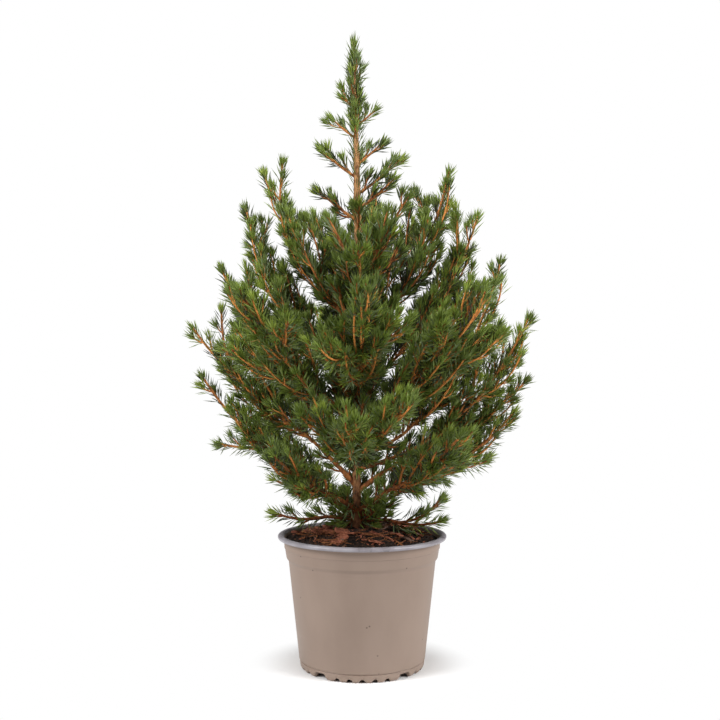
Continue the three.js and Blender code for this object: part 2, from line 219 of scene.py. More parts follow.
class Shader(Tree):
    """One material's node tree, with a Principled surface at its end."""

    def __init__(self, name: str, roughness: float, specular: float = 0.5) -> None:
        """Make the material and the constants of its surface.

        Args:
            name: The material's name.
            roughness: The surface's roughness where nothing varies it.
            specular: The strength of its plain reflections.
        """
        self.material = bpy.data.materials.new(name)
        self.material.use_nodes = True
        self.tree = self.material.node_tree
        self.tree.nodes.clear()
        self.output = self.tree.nodes.new("ShaderNodeOutputMaterial")
        self.surface = self.tree.nodes.new("ShaderNodeBsdfPrincipled")
        self.surface.inputs["Roughness"].default_value = roughness
        self.surface.inputs["Specular IOR Level"].default_value = specular
        self.tree.links.new(self.surface.outputs[0], self.output.inputs["Surface"])

    def place(self, scale: Sequence[float] = (1, 1, 1)) -> bpy.types.NodeSocket:
        """Give the Object coordinates, stretched along each axis."""
        coordinates = self.node("ShaderNodeTexCoord").outputs["Object"]
        return self.node("ShaderNodeMapping", {}, {"Vector": coordinates, "Scale": scale}).outputs[0]

    def noise(self, scale: float, detail: float = 3, stretch: Sequence[float] = (1, 1, 1)) -> Value:
        """Give a noise value, in cycles per metre."""
        sockets = {"Vector": self.place(stretch), "Scale": scale, "Detail": detail}
        return Value(self, self.node("ShaderNodeTexNoise", {}, sockets).outputs[0])

    def cells(self, scale: float, stretch: Sequence[float] = (1, 1, 1)) -> Value:
        """Give the distance to the nearest of scattered points, for specks and flakes."""
        sockets = {"Vector": self.place(stretch), "Scale": scale}
        return Value(self, self.node("ShaderNodeTexVoronoi", {}, sockets).outputs["Distance"])

    def height(self) -> Value:
        """Give the height above the pot's underside, in metres."""
        parts = self.node("ShaderNodeSeparateXYZ", {}, {0: self.place()})
        return Value(self, parts.outputs[2])

    def between(self, value: Value, low: float, high: float) -> Value:
        """Give 0 below one bound, 1 above the other and a smooth way between."""
        sockets = {"Value": value, "From Min": low, "From Max": high}
        made = self.node("ShaderNodeMapRange", {"interpolation_type": "SMOOTHSTEP"}, sockets)
        return Value(self, made.outputs[0])

    def mix(self, share: Value, first: Any, second: Any) -> bpy.types.NodeSocket:
        """Blend two colours by a share."""
        sockets = {"Factor": share, 6: first, 7: second}
        return self.node("ShaderNodeMix", {"data_type": "RGBA"}, sockets).outputs[2]

    def bump(self, height: Value, distance: float, strength: float = 1.0) -> None:
        """Raise the surface's normal by a height value."""
        sockets = {"Height": height, "Distance": distance, "Strength": strength}
        made = self.node("ShaderNodeBump", {}, sockets)
        self.tree.links.new(made.outputs[0], self.surface.inputs["Normal"])

    def set(self, name: str, given: Any) -> None:
        """Set or link one input of the surface."""
        self.join(given, self.surface.inputs[name])


# ---- Finishes ----


class Green(Enum):
    """The plain base colours that the needles are dealt, by spray, by place on the shoot and by depth in the
    crown, where more of the darkest greens are painted shade.
    """

    BUD = srgb(132, 148, 56)
    FRESH = srgb(111, 129, 50)
    GRASS = srgb(96, 112, 45)
    LEAF = srgb(80, 94, 41)
    BLUE = srgb(108, 124, 84)
    DEEP = srgb(47, 58, 27)
    OLD = srgb(34, 40, 19)
    STRAW = srgb(150, 116, 54)


BRUSH_GREENS = [Green.BUD, Green.FRESH, Green.GRASS]
YOUNG_GREENS = [Green.FRESH, Green.GRASS, Green.LEAF, Green.BLUE, Green.DEEP]
OLD_GREENS = [Green.LEAF, Green.BLUE, Green.DEEP, Green.OLD, Green.STRAW]


@dataclass(frozen=True)
class NeedleFinish:
    """One plain green of the needles, waxy and slightly glossy."""

    green: Green

    def material(self) -> bpy.types.Material:
        """Build the material.

        Returns:
            The material.
        """
        shader = Shader("needle_" + self.green.name.lower(), roughness=0.42, specular=0.42)
        shader.set("Base Color", self.green.value)
        return shader.material


@dataclass(frozen=True)
class BarkFinish:
    """Bark: a light and a dark tone in long flakes, with fine cracks.

    Attributes:
        name: The material's name.
        light: The tone of the raised flakes.
        dark: The tone of the cracks.
        flake: Flakes per metre.
        darker_below: The heights between which the darker colour near the ground turns to the bark's upper
            colour.
    """

    name: str
    light: Colour
    dark: Colour
    flake: float = 420.0
    darker_below: tuple[float, float] = (0.1, 0.2)

    def material(self) -> bpy.types.Material:
        """Build the material.

        Returns:
            The material.
        """
        shader = Shader(self.name, roughness=0.78, specular=0.3)
        blotch = shader.noise(self.flake * 0.35, 3)
        flakes = shader.noise(self.flake, 4, (1, 1, 0.4))
        share = shader.between(blotch * 0.45 + flakes * 0.55, 0.36, 0.62)
        # Towards the ground the bark is made darker and browner.
        low_colour = shader.mix(share, darker_near_ground(self.dark), darker_near_ground(self.light))
        young = shader.mix(share, self.dark, self.light)
        over_ground = shader.between(shader.height(), *self.darker_below)
        shader.set("Base Color", shader.mix(over_ground, low_colour, young))
        shader.set("Roughness", 0.9 - 0.2 * share)
        shader.bump(flakes, 0.35 * MM, 0.7)
        return shader.material


@dataclass(frozen=True)
class PotFinish:
    """Matt taupe plastic with faint mottling, fine dark specks and soft scuffs."""

    tone: Colour = srgb(147, 128, 115)
    shade: Colour = srgb(137, 118, 105)
    speck: Colour = srgb(80, 64, 54)

    def material(self) -> bpy.types.Material:
        """Build the material.

        Returns:
            The material.
        """
        shader = Shader("pot_plastic", roughness=0.5, specular=0.4)
        mottle = shader.between(shader.noise(28, 4, (1, 1, 0.5)), 0.3, 0.7)
        ground = shader.mix(mottle, self.shade, self.tone)
        specks = 1.0 - shader.between(shader.cells(120), 0.05, 0.1)
        sparse = shader.between(shader.noise(60, 1), 0.5, 0.56)
        marked = shader.mix(specks * sparse * 0.75, ground, self.speck)
        scuffs = shader.between(shader.noise(40, 3, (1, 1, 5)), 0.58, 0.75)
        shader.set("Base Color", shader.mix(scuffs * 0.25, marked, self.tone))
        shader.set("Roughness", 0.44 + 0.18 * mottle)
        shader.bump(shader.noise(900, 2), 0.05 * MM, 0.35)
        return shader.material


@dataclass(frozen=True)
class LipHighlightFinish:
    """The pot's lip: smoother, with a soft shine, and painted paler and greyer as a highlight on the same
    taupe plastic.
    """

    # Paler and greyer than the pot: a painted highlight of the lip.
    tone: Colour = srgb(156, 152, 158)
    shade: Colour = srgb(130, 124, 129)

    def material(self) -> bpy.types.Material:
        """Build the material.

        Returns:
            The material.
        """
        shader = Shader("pot_lip", roughness=0.3, specular=0.5)
        mottle = shader.between(shader.noise(70, 3), 0.3, 0.7)
        shader.set("Base Color", shader.mix(mottle, self.shade, self.tone))
        shader.set("Roughness", 0.26 + 0.16 * mottle)
        shader.bump(shader.noise(600, 2), 0.04 * MM, 0.3)
        return shader.material


@dataclass(frozen=True)
class EarthFinish:
    """Crumbly compost or what lies in it, from a dark and a light tone.

    Attributes:
        name: The material's name.
        dark: The tone of the darker patches and of the grain's hollows, where it is painted shade.
        light: The tone of the grains.
        grain: Grains per metre.
        stretch: How the grain is stretched along each axis.
    """

    name: str
    dark: Colour
    light: Colour
    grain: float = 350.0
    stretch: tuple[float, float, float] = (1, 1, 1)

    def material(self) -> bpy.types.Material:
        """Build the material.

        Returns:
            The material.
        """
        shader = Shader(self.name, roughness=0.85, specular=0.25)
        patches = shader.noise(self.grain * 0.25, 3)
        grains = shader.noise(self.grain, 5, self.stretch)
        # The grain that raises the bump also lightens the colour, so the bump's hollows are darker: painted
        # shade, over the compost's own patches.
        share = shader.between(patches * 0.5 + grains * 0.5, 0.38, 0.62)
        shader.set("Base Color", shader.mix(share, self.dark, self.light))
        shader.set("Roughness", 0.95 - 0.25 * share)
        shader.bump(grains, 0.5 * MM, 0.8)
        return shader.material


@dataclass(frozen=True)
class StageFinish:
    """The plain pale floor, which turns to even white away from the pot.

    Attributes:
        near: Distance from the pot's axis within which it takes shadows.
        far: Distance beyond which it is an even white.
    """

    near: float = 0.048
    far: float = 0.09

    def material(self) -> bpy.types.Material:
        """Build the material.

        Returns:
            The material.
        """
        shader = Shader("stage_floor", roughness=0.9, specular=0.1)
        shader.set("Base Color", (0.93, 0.93, 0.93, 1.0))
        parts = shader.node("ShaderNodeSeparateXYZ", {}, {0: shader.place()})
        across, along = Value(shader, parts.outputs[0]), Value(shader, parts.outputs[1])
        away = (across * across + along * along) ** 0.5
        glow = shader.node("ShaderNodeEmission", {}, {"Color": (1, 1, 1, 1), "Strength": 1.0})
        share = shader.between(away, self.near, self.far)
        lit = shader.surface.outputs[0]
        joined = shader.node("ShaderNodeMixShader", {}, {0: share, 1: lit, 2: glow.outputs[0]})
        shader.tree.links.new(joined.outputs[0], shader.output.inputs["Surface"])
        return shader.material


# ---- Paths and solids ----


def unit(vectors: np.ndarray) -> np.ndarray:
    """Give vectors of length one along the last axis."""
    return vectors / np.maximum(np.linalg.norm(vectors, axis=-1, keepdims=True), 1e-12)


def across_frames(tangents: np.ndarray) -> tuple[np.ndarray, np.ndarray]:
    """Give two directions square to each tangent and to each other.

    Args:
        tangents: Unit vectors, one a row.

    Returns:
        The side vectors and the vectors square to both.
    """
    steep = np.abs(tangents[:, 2:3]) > 0.94
    side = unit(np.cross(np.where(steep, ACROSS, UP), tangents))
    return side, np.cross(tangents, side)


@dataclass
class Path:
    """A line through points, read by the distance run along it."""

    points: np.ndarray
    run: np.ndarray = field(init=False)

    def __post_init__(self) -> None:
        """Work out the distance run at each point."""
        steps = np.linalg.norm(np.diff(self.points, axis=0), axis=1)
        self.run = np.concatenate(([0.0], np.cumsum(steps)))

    @property
    def length(self) -> float:
        """Give the whole length."""
        return float(self.run[-1])

    def at(self, distance: Any) -> np.ndarray:
        """Give the points at these distances."""
        return np.stack([np.interp(distance, self.run, self.points[:, k]) for k in range(3)], axis=-1)

    def heading(self, distance: Any) -> np.ndarray:
        """Give the unit directions at these distances.

        Args:
            distance: One distance or many, along the path.

        Returns:
            The directions, one a row.
        """
        nudge = self.length * 0.02 + 1e-6
        low = np.clip(np.asarray(distance) - nudge, 0, self.length)
        high = np.clip(np.asarray(distance) + nudge, 0, self.length)
        return unit(self.at(high) - self.at(low))

    def onward(self, other: "Path") -> "Path":
        """Join another path to the end of this one."""
        return Path(np.vstack([self.points, other.points[1:]]))

    @staticmethod
    def bend(start: np.ndarray, middle: np.ndarray, end: np.ndarray, steps: int) -> "Path":
        """Make a curve that leaves start towards middle and reaches end from there.

        Args:
            start: Where it starts.
            middle: The point that both ends head for.
            end: Where it ends.
            steps: Its straight steps.

        Returns:
            The curve.
        """
        share = np.linspace(0, 1, steps + 1)[:, None]
        points = (1 - share) ** 2 * start + 2 * share * (1 - share) * middle + share**2 * end
        return Path(points)


class Solid:
    """One node of the frame, read for its shape."""

    def __init__(self, node: str) -> None:
        """Read the node's mesh with its shared vertices merged.

        Args:
            node: The node's name.
        """
        self.name = node
        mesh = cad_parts[node].data
        mesh.calc_loop_triangles()
        places = np.zeros(len(mesh.vertices) * 3)
        mesh.vertices.foreach_get("co", places)
        corners = np.zeros(len(mesh.loop_triangles) * 3, dtype=np.int64)
        mesh.loop_triangles.foreach_get("vertices", corners)
        rounded = np.round(places.reshape(-1, 3), 6)
        self.points, merged = np.unique(rounded, axis=0, return_inverse=True)
        self.triangles = merged.reshape(-1)[corners].reshape(-1, 3)
        pairs = np.vstack([self.triangles[:, ends] for ends in ([0, 1], [1, 2], [2, 0])])
        self.edges = np.unique(np.sort(pairs, axis=1), axis=0)
        self.tree = BVHTree.FromPolygons(self.points.tolist(), self.triangles.tolist())

    def section(self, origin: np.ndarray, normal: np.ndarray) -> tuple[np.ndarray, float]:
        """Cut the solid with a plane.

        Args:
            origin: A point of the plane.
            normal: The plane's normal.

        Returns:
            The middle of the cut and its mean radius.
        """
        side = (self.points - origin) @ normal
        first, second = self.edges[:, 0], self.edges[:, 1]
        crossed = side[first] * side[second] < 0
        first, second = first[crossed], second[crossed]
        share = (side[first] / (side[first] - side[second]))[:, None]
        hits = self.points[first] + share * (self.points[second] - self.points[first])
        middle = hits.mean(axis=0)
        return middle, float(np.linalg.norm(hits - middle, axis=1).mean())

    def room(self, origin: np.ndarray, direction: np.ndarray) -> float:
        """Give the distance from a point inside to the surface, or 0 from outside.

        Args:
            origin: The point.
            direction: The way to look from it.

        Returns:
            The distance.
        """
        _, normal, _, distance = self.tree.ray_cast(Vector(origin), Vector(direction))
        if normal is None or normal.dot(Vector(direction)) < 0:
            return 0.0
        return float(distance)

    def top_at(self, x: float, y: float) -> float | None:
        """Give the height of the highest surface over a place."""
        place, _, _, _ = self.tree.ray_cast(Vector((x, y, 10.0)), Vector((0, 0, -1)))
        return None if place is None else float(place.z)

    def tips(self, base: np.ndarray, least_share: float, apart: float) -> list[np.ndarray]:
        """Find the points that stick out furthest from a base point.

        Args:
            base: Where the mass is held.
            least_share: The least reach of a tip, as a share of the greatest.
            apart: The least distance between two tips.

        Returns:
            The tips, furthest first.
        """
        reach = np.linalg.norm(self.points - base, axis=1)
        highest_near = reach.copy()
        for _ in range(2):
            spread = highest_near.copy()
            np.maximum.at(spread, self.edges[:, 0], highest_near[self.edges[:, 1]])
            np.maximum.at(spread, self.edges[:, 1], highest_near[self.edges[:, 0]])
            highest_near = spread
        peaks = np.nonzero((reach >= highest_near - 1e-9) & (reach > least_share * reach.max()))[0]
        kept: list[np.ndarray] = []
        for peak in sorted(peaks, key=lambda i: -reach[i]):
            place = self.points[peak]
            if all(np.linalg.norm(place - other) > apart for other in kept):
                kept.append(place)
        return kept


# ---- Meshes and Geometry Nodes ----


def put(name: str, data: Any) -> bpy.types.Object:
    """Make an object at the origin from its data and link it to the scene."""
    made = bpy.data.objects.new(name, data)
    bpy.context.scene.collection.objects.link(made)
    return made


def mesh_object(name: str, points: np.ndarray, faces: Iterable[Sequence[int]] = ()) -> bpy.types.Object:
    """Make an object at the origin from points and faces.

    Args:
        name: The object's and the mesh's name.
        points: One row for each vertex.
        faces: Vertex numbers of each face.

    Returns:
        The object, linked to the scene.
    """
    mesh = bpy.data.meshes.new(name)
    mesh.from_pydata(np.asarray(points).tolist(), [], [list(face) for face in faces])
    mesh.validate()
    return put(name, mesh)


def bands(rows: int, count: int, inward: bool = False) -> list[tuple[int, ...]]:
    """Join closed rings of points by four-sided faces.

    Args:
        rows: The number of bands, one less than the rings.
        count: Points in each ring.
        inward: Whether the faces turn the other way.

    Returns:
        The faces.
    """
    faces = []
    for row in range(rows):
        for i in range(count):
            a, b = row * count + i, row * count + (i + 1) % count
            faces.append((a, a + count, b + count, b) if inward else (a, b, b + count, a + count))
    return faces


def set_vectors(mesh: bpy.types.Mesh, name: str, rows: np.ndarray) -> None:
    """Store a vector or a number for each vertex under a name.

    Args:
        mesh: The mesh.
        name: The name that a recipe reads them by.
        rows: The vectors, one a row, or the numbers.
    """
    kind, field_name = ("FLOAT_VECTOR", "vector") if rows.ndim == 2 else ("FLOAT", "value")
    stored = mesh.attributes.new(name, kind, "POINT").data
    stored.foreach_set(field_name, rows.astype(np.float32).ravel())


class Recipe(Tree):
    """A Geometry Nodes tree with named inputs that ends in realized, dressed geometry."""

    def __init__(self, name: str, inputs: dict[str, str]) -> None:
        """Start the tree.

        Args:
            name: The tree's name.
            inputs: Socket types by input name, after the geometry itself.
        """
        self.tree = bpy.data.node_groups.new(name, "GeometryNodeTree")
        face = self.tree.interface
        face.new_socket("Geometry", in_out="INPUT", socket_type="NodeSocketGeometry")
        self.identifiers = {}
        for key, kind in inputs.items():
            made = face.new_socket(key, in_out="INPUT", socket_type=kind)
            self.identifiers[key] = made.identifier
        face.new_socket("Geometry", in_out="OUTPUT", socket_type="NodeSocketGeometry")
        self.given = self.tree.nodes.new("NodeGroupInput").outputs
        self.result = self.tree.nodes.new("NodeGroupOutput")

    def input(self, name: str) -> Value:
        """Give one of the tree's inputs."""
        return Value(self, self.given[name])

    def vector(self, x: Any, y: Any, z: Any) -> Value:
        """Join three numbers to a vector."""
        return Value(self, self.node("ShaderNodeCombineXYZ", {}, {0: x, 1: y, 2: z}).outputs[0])

    def position(self) -> tuple[Value, ...]:
        """Give the three coordinates of each point."""
        place = self.node("GeometryNodeInputPosition").outputs[0]
        parts = self.node("ShaderNodeSeparateXYZ", {}, {0: place})
        return tuple(Value(self, part) for part in parts.outputs)

    def attribute(self, name: str, kind: str = "FLOAT_VECTOR") -> Value:
        """Read a stored value of each point."""
        stored = self.node("GeometryNodeInputNamedAttribute", {"data_type": kind}, {"Name": name})
        return Value(self, stored.outputs[0])

    def random(self, low: float, high: float, seed: int) -> Value:
        """Give each point a number from a range."""
        made = self.node("FunctionNodeRandomValue", {"data_type": "FLOAT"}, {2: low, 3: high, "Seed": seed})
        return Value(self, made.outputs[1])

    def change(self, kind: str, geometry: Any, inputs: dict[str, Any]) -> bpy.types.NodeSocket:
        """Pass geometry through a node that changes it.

        Args:
            kind: The node's type.
            geometry: What it changes.
            inputs: Its other inputs, by name.

        Returns:
            The changed geometry.
        """
        return self.node(kind, {}, {"Geometry": geometry, **inputs}).outputs[0]

    def lay(self, points: Any, shape: bpy.types.NodeSocket, turn: Any, size: Value) -> "Recipe":
        """Set a shape on each point and end the tree.

        Args:
            points: The points.
            shape: What stands on each.
            turn: How it is turned.
            size: Its size along each axis.

        Returns:
            The recipe.
        """
        sockets = {"Points": points, "Instance": shape, "Rotation": turn, "Scale": size}
        return self.finish(self.node("GeometryNodeInstanceOnPoints", {}, sockets).outputs[0])

    def finish(self, geometry: bpy.types.NodeSocket) -> "Recipe":
        """Realize the geometry, dress it in the Material input and end the tree.

        Args:
            geometry: What the tree has made.

        Returns:
            The recipe.
        """
        realized = self.change("GeometryNodeRealizeInstances", geometry, {})
        dressed = self.change("GeometryNodeSetMaterial", realized, {"Material": self.input("Material")})
        self.tree.links.new(dressed, self.result.inputs[0])
        return self

    def make(self, base: bpy.types.Object, name: str, inputs: dict[str, Any]) -> bpy.types.Object:
        """Run the tree on an object and keep the result as a plain mesh.

        Args:
            base: The object that the tree starts from; it is removed.
            name: The new piece's name.
            inputs: Values by input name.

        Returns:
            The new piece.
        """
        modifier = base.modifiers.new("recipe", "NODES")
        modifier.node_group = self.tree
        for key, given in inputs.items():
            modifier[self.identifiers[key]] = given
        evaluated = base.evaluated_get(bpy.context.evaluated_depsgraph_get())
        mesh = bpy.data.meshes.new_from_object(evaluated)
        mesh.name = name
        for stored in [a.name for a in mesh.attributes if a.name in POINT_VALUES]:
            mesh.attributes.remove(mesh.attributes[stored])
        base.modifiers.remove(modifier)
        bpy.data.objects.remove(base)
        return put(name, mesh)


POINT_VALUES = ("along", "toward", "size", "thick")


class PointRecipe(Recipe):
    """A tree that sets one small shape on each stored point, by the point's own turn and size."""

    def __init__(self, name: str, extra: dict[str, str]) -> None:
        """Start the tree.

        Args:
            name: The tree's name.
            extra: Socket types of its own inputs.
        """
        super().__init__(name, {**extra, "Material": "NodeSocketMaterial"})
        self.turn = self.node(
            "FunctionNodeAxesToRotation",
            {"primary_axis": "Z", "secondary_axis": "X"},
            {0: self.attribute("along"), 1: self.attribute("toward")},
        ).outputs[0]
        self.size = self.attribute("size")

    def set_out(self, shape: bpy.types.NodeSocket) -> Recipe:
        """Set the shape on each point and end the tree."""
        return self.lay(self.input("Geometry"), shape, self.turn, self.size)


def needle_recipe() -> Recipe:
    """Build the tree that sets a pointed, slightly curved needle on each point.

    Returns:
        The recipe, with inputs Bend and Material.
    """
    recipe = PointRecipe("needles", {"Bend": "NodeSocketFloat"})
    spike = recipe.node("GeometryNodeMeshUVSphere", {}, {"Segments": 3, "Rings": 2, "Radius": 1.0}).outputs[0]
    x, y, z = recipe.position()
    share = 0.5 + z * 0.5
    placed = recipe.vector(x + recipe.input("Bend") * (share * share), y, share)
    return recipe.set_out(recipe.change("GeometryNodeSetPosition", spike, {"Position": placed}))


def bud_recipe() -> Recipe:
    """Build the tree that sets a small egg-shaped bud on each point.

    Returns:
        The recipe, with the input Material.
    """
    recipe = PointRecipe("buds", {})
    ball = recipe.node("GeometryNodeMeshUVSphere", {}, {"Segments": 6, "Rings": 4, "Radius": 1.0}).outputs[0]
    x, y, z = recipe.position()
    taper = 0.8 - z * 0.35
    placed = recipe.vector(x * taper, y * taper, z)
    shape = recipe.change("GeometryNodeSetPosition", ball, {"Position": placed})
    return recipe.set_out(recipe.change("GeometryNodeSetShadeSmooth", shape, {}))


def twig_recipe() -> Recipe:
    """Build the tree that sweeps a round section along each line of points.

    Returns:
        The recipe, with inputs Sides and Material.
    """
    recipe = Recipe("twigs", {"Sides": "NodeSocketInt", "Material": "NodeSocketMaterial"})
    lines = recipe.node("GeometryNodeMeshToCurve", {}, {0: recipe.input("Geometry")}).outputs[0]
    sockets = {"Resolution": recipe.input("Sides"), "Radius": 1.0}
    ring = recipe.node("GeometryNodeCurvePrimitiveCircle", {}, sockets).outputs[0]
    thick = recipe.attribute("thick", "FLOAT")
    sockets = {"Curve": lines, "Profile Curve": ring, "Scale": thick, "Fill Caps": True}
    swept = recipe.node("GeometryNodeCurveToMesh", {}, sockets).outputs[0]
    return recipe.finish(recipe.change("GeometryNodeSetShadeSmooth", swept, {}))


def scatter_recipe(
    name: str, chunk: str, settings: dict[str, Any], flatness: tuple[float, float, float]
) -> Recipe:
    """Build the tree that strews rough chunks over a surface.

    Args:
        name: The tree's name.
        chunk: The type of the mesh node that gives the chunk.
        settings: The chunk node's sockets.
        flatness: The chunk's size along each axis, as shares.

    Returns:
        The recipe, with inputs Density, Least, Most, Rough, Sink, Tilt, Seed and Material.
    """
    numbers = ("Density", "Least", "Most", "Rough", "Sink", "Tilt")
    inputs = {key: "NodeSocketFloat" for key in numbers}
    recipe = Recipe(name, {**inputs, "Seed": "NodeSocketInt", "Material": "NodeSocketMaterial"})
    shape = recipe.node(chunk, {}, settings).outputs[0]
    place = recipe.node("GeometryNodeInputPosition").outputs[0]
    lumps = recipe.node("ShaderNodeTexNoise", {}, {"Vector": place, "Scale": 2.3, "Detail": 2.0}).outputs[1]
    centred = recipe.node("ShaderNodeVectorMath", {"operation": "SUBTRACT"}, {0: lumps, 1: (0.5, 0.5, 0.5)})
    sockets = {0: centred.outputs[0], "Scale": recipe.input("Rough")}
    pushed = recipe.node("ShaderNodeVectorMath", {"operation": "SCALE"}, sockets)
    rough = recipe.change("GeometryNodeSetPosition", shape, {"Offset": pushed.outputs[0]})
    flat = recipe.change("GeometryNodeTransform", rough, {"Scale": flatness})
    sockets = {"Mesh": recipe.input("Geometry")}
    sockets |= {key: recipe.input(key) for key in ("Density", "Seed")}
    strewn = recipe.node("GeometryNodeDistributePointsOnFaces", {}, sockets).outputs[0]
    sunk = recipe.vector(0.0, 0.0, recipe.input("Sink") * -1.0)
    lowered = recipe.change("GeometryNodeSetPosition", strewn, {"Offset": sunk})
    lean = recipe.input("Tilt") * recipe.random(-1.0, 1.0, 5)
    roll = recipe.input("Tilt") * recipe.random(-1.0, 1.0, 6)
    turn = recipe.vector(lean, roll, recipe.random(0.0, 2 * math.pi, 7))
    spread = recipe.random(0.0, 1.0, 8)
    size = recipe.input("Least") + spread * spread * (recipe.input("Most") - recipe.input("Least"))
    return recipe.lay(lowered, flat, turn, recipe.vector(size, size, size))


def dress(
    piece: bpy.types.Object, nodes: Sequence[str] = (), finishes: Sequence[bpy.types.Material] = ()
) -> bpy.types.Object:
    """Give a piece its materials, hang it on the frame's body and hide the frame's nodes that it stands for.

    Args:
        piece: The finished piece.
        nodes: The frame's nodes that it stands for.
        finishes: Its materials, if its mesh hasn't any yet.

    Returns:
        The piece.
    """
    for finish in finishes:
        piece.data.materials.append(finish)
    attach(piece, BODY)
    if nodes:
        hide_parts(*nodes)
    log.info("%s: %d faces", piece.name, len(piece.data.polygons))
    return piece


# ---- Pot ----


def rounded(corners: Sequence[tuple[float, float, float]], steps: int = 3) -> np.ndarray:
    """Round the corners of an outline.

    Args:
        corners: Radius, height and rounding of each corner, in millimetres.
        steps: Points in each rounded corner, less one.

    Returns:
        The outline's points, in metres.
    """
    places = np.array([corner[:2] for corner in corners])
    outline = []
    for i, (radius, height, rounding) in enumerate(corners):
        here = np.array([radius, height])
        if rounding == 0 or i in (0, len(corners) - 1):
            outline.append(here)
            continue
        before, after = places[i - 1] - here, places[i + 1] - here
        reach = min(rounding, 0.48 * np.linalg.norm(before), 0.48 * np.linalg.norm(after))
        first, last = here + unit(before) * reach, here + unit(after) * reach
        for share in np.linspace(0, 1, steps + 1):
            outline.append((1 - share) ** 2 * first + 2 * share * (1 - share) * here + share**2 * last)
    return np.array(outline) * MM


@dataclass
class Pot:
    """The round pot: a tapered wall, a collar, a rolled lip and a notched foot ring.

    Sizes are in millimetres. Those of the rim and the height come from the frame.
    """

    foot: float = 47.8
    foot_height: float = 6.2
    ring: float = 3.6
    channel: float = 9.0
    channel_depth: float = 4.4
    neck: float = 60.0
    neck_height: float = 94.0
    collar_height: float = 83.5
    wall: float = 1.4
    segments: int = 300
    # height over the neck where the lip's painted highlight begins
    lip_rise: float = 3.7
    large_notches: tuple[float, ...] = (49.0, 131.0, 229.0, 311.0)
    large_rise: float = 4.3
    large_reach: float = 6.1
    large_slope: float = 2.4
    small_notches: tuple[tuple[float, int, float], ...] = (
        (90.0, 5, 11.5),
        (270.0, 5, 11.5),
        (0.0, 7, 11.0),
        (180.0, 7, 11.0),
    )
    small_rise: float = 2.9
    small_reach: float = 2.3

    def outline(self) -> np.ndarray:
        """Give the outline from the middle of the underside, up the outside and down the inside.

        Returns:
            The outline's points, in metres.
        """
        low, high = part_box("pot")
        rim, height = (high.x - low.x) / 2 / MM, high.z / MM
        inner = self.foot - self.ring - self.channel
        outer = self.foot - self.ring
        body = self.neck - 3.5
        corners = [
            (0, 0, 0),
            (inner, 0, 0.6),
            (inner + 0.4, self.channel_depth, 0.6),
            (outer - 0.4, self.channel_depth, 0.6),
            (outer, 0, 0.3),
            (self.foot - 1.6, 0, 0.9),
            (self.foot - 0.4, 1.6, 1.2),
            (self.foot, self.foot_height - 0.5, 0.3),
            (self.foot - 0.6, self.foot_height, 0.2),
            (self.foot + 0.4, self.foot_height + 0.6, 0.3),
            (body - 0.2, self.collar_height - 2.6, 0.8),
            (body + 0.3, self.collar_height - 1.6, 0.5),
            (body + 1.5, self.collar_height, 0.7),
            (self.neck - 0.9, self.neck_height - 3.4, 0.5),
            (self.neck - 0.4, self.neck_height - 3.0, 0.3),
            (self.neck - 0.3, self.neck_height, 0.6),
            (self.neck, height - 3.5, 0.5),
            (rim - 0.7, height - 3.2, 0.6),
            (rim, height - 2.4, 0.6),
            (rim, height - 0.9, 0.9),
            (rim - 1.4, height, 0.9),
            (rim - 3.6, height, 0.9),
            (rim - 5.0, height - 1.4, 1.0),
            (self.neck - self.wall - 0.5, self.neck_height + 1, 1.5),
            (body - self.wall, self.collar_height, 1.5),
            (self.foot - self.wall, self.channel_depth + self.wall, 1.5),
            (inner - self.wall + 0.4, self.channel_depth + self.wall, 0.6),
            (inner - self.wall, self.wall, 0.6),
            (0, self.wall, 0),
        ]
        return rounded(corners)

    def apart(self, bearing: float, middle: float) -> float:
        """Give the distance along the foot ring between two bearings, in millimetres."""
        return abs((bearing - middle + 180) % 360 - 180) * math.radians(1) * self.foot

    def notch_height(self, bearing: float) -> float:
        """Give how high the foot ring is cut away at a bearing.

        Args:
            bearing: The bearing, in degrees.

        Returns:
            The height, in millimetres.
        """
        rise = 0.0
        for middle in self.large_notches:
            left = self.large_reach - self.apart(bearing, middle)
            rise = max(rise, min(self.large_rise, left * self.large_slope))
        for gap, count, spacing in self.small_notches:
            for i in range(count):
                middle = gap + (i - (count - 1) / 2) * spacing
                off = self.apart(bearing, middle) / self.small_reach
                rise = max(rise, self.small_rise * math.sqrt(max(0.0, 1 - off**2)))
        return max(0.0, rise)

    def build(self) -> bpy.types.Object:
        """Turn the outline into the pot and dress it.

        Returns:
            The pot.
        """
        outline = self.outline()
        bearings = np.arange(self.segments) * 360 / self.segments
        cut = np.array([self.notch_height(b) for b in bearings]) * MM
        ring_inner = (self.foot - self.ring - 0.2) * MM
        inside = outline[1:-1]
        angles = np.radians(bearings)
        rings = []
        for radius, height in inside:
            heights = np.full(self.segments, height)
            if radius > ring_inner and height < self.foot_height * MM:
                heights = np.maximum(heights, np.minimum(cut, (self.foot_height - 1) * MM))
            rings.append(np.stack([radius * np.cos(angles), radius * np.sin(angles), heights], axis=1))
        points = np.vstack([*rings, [[0, 0, outline[0][1]]], [[0, 0, outline[-1][1]]]])
        count, last = self.segments, len(inside) - 1
        faces = bands(last, count)
        floor_middle, inner_middle = len(points) - 2, len(points) - 1
        for i in range(count):
            faces.append((floor_middle, (i + 1) % count, i))
            faces.append((inner_middle, last * count + i, last * count + (i + 1) % count))
        pot = mesh_object("pot_shell", points, faces)
        pot.data.shade_smooth()
        # The second material is the lip's painted highlight.
        dress(pot, ["pot"], [PotFinish().material(), LipHighlightFinish().material()])
        self.mark_lip_highlight(pot.data)
        return pot

    def mark_lip_highlight(self, mesh: bpy.types.Mesh) -> None:
        """Give the upper faces of the rolled lip the lip's finish, a painted highlight.

        Args:
            mesh: The pot's mesh.
        """
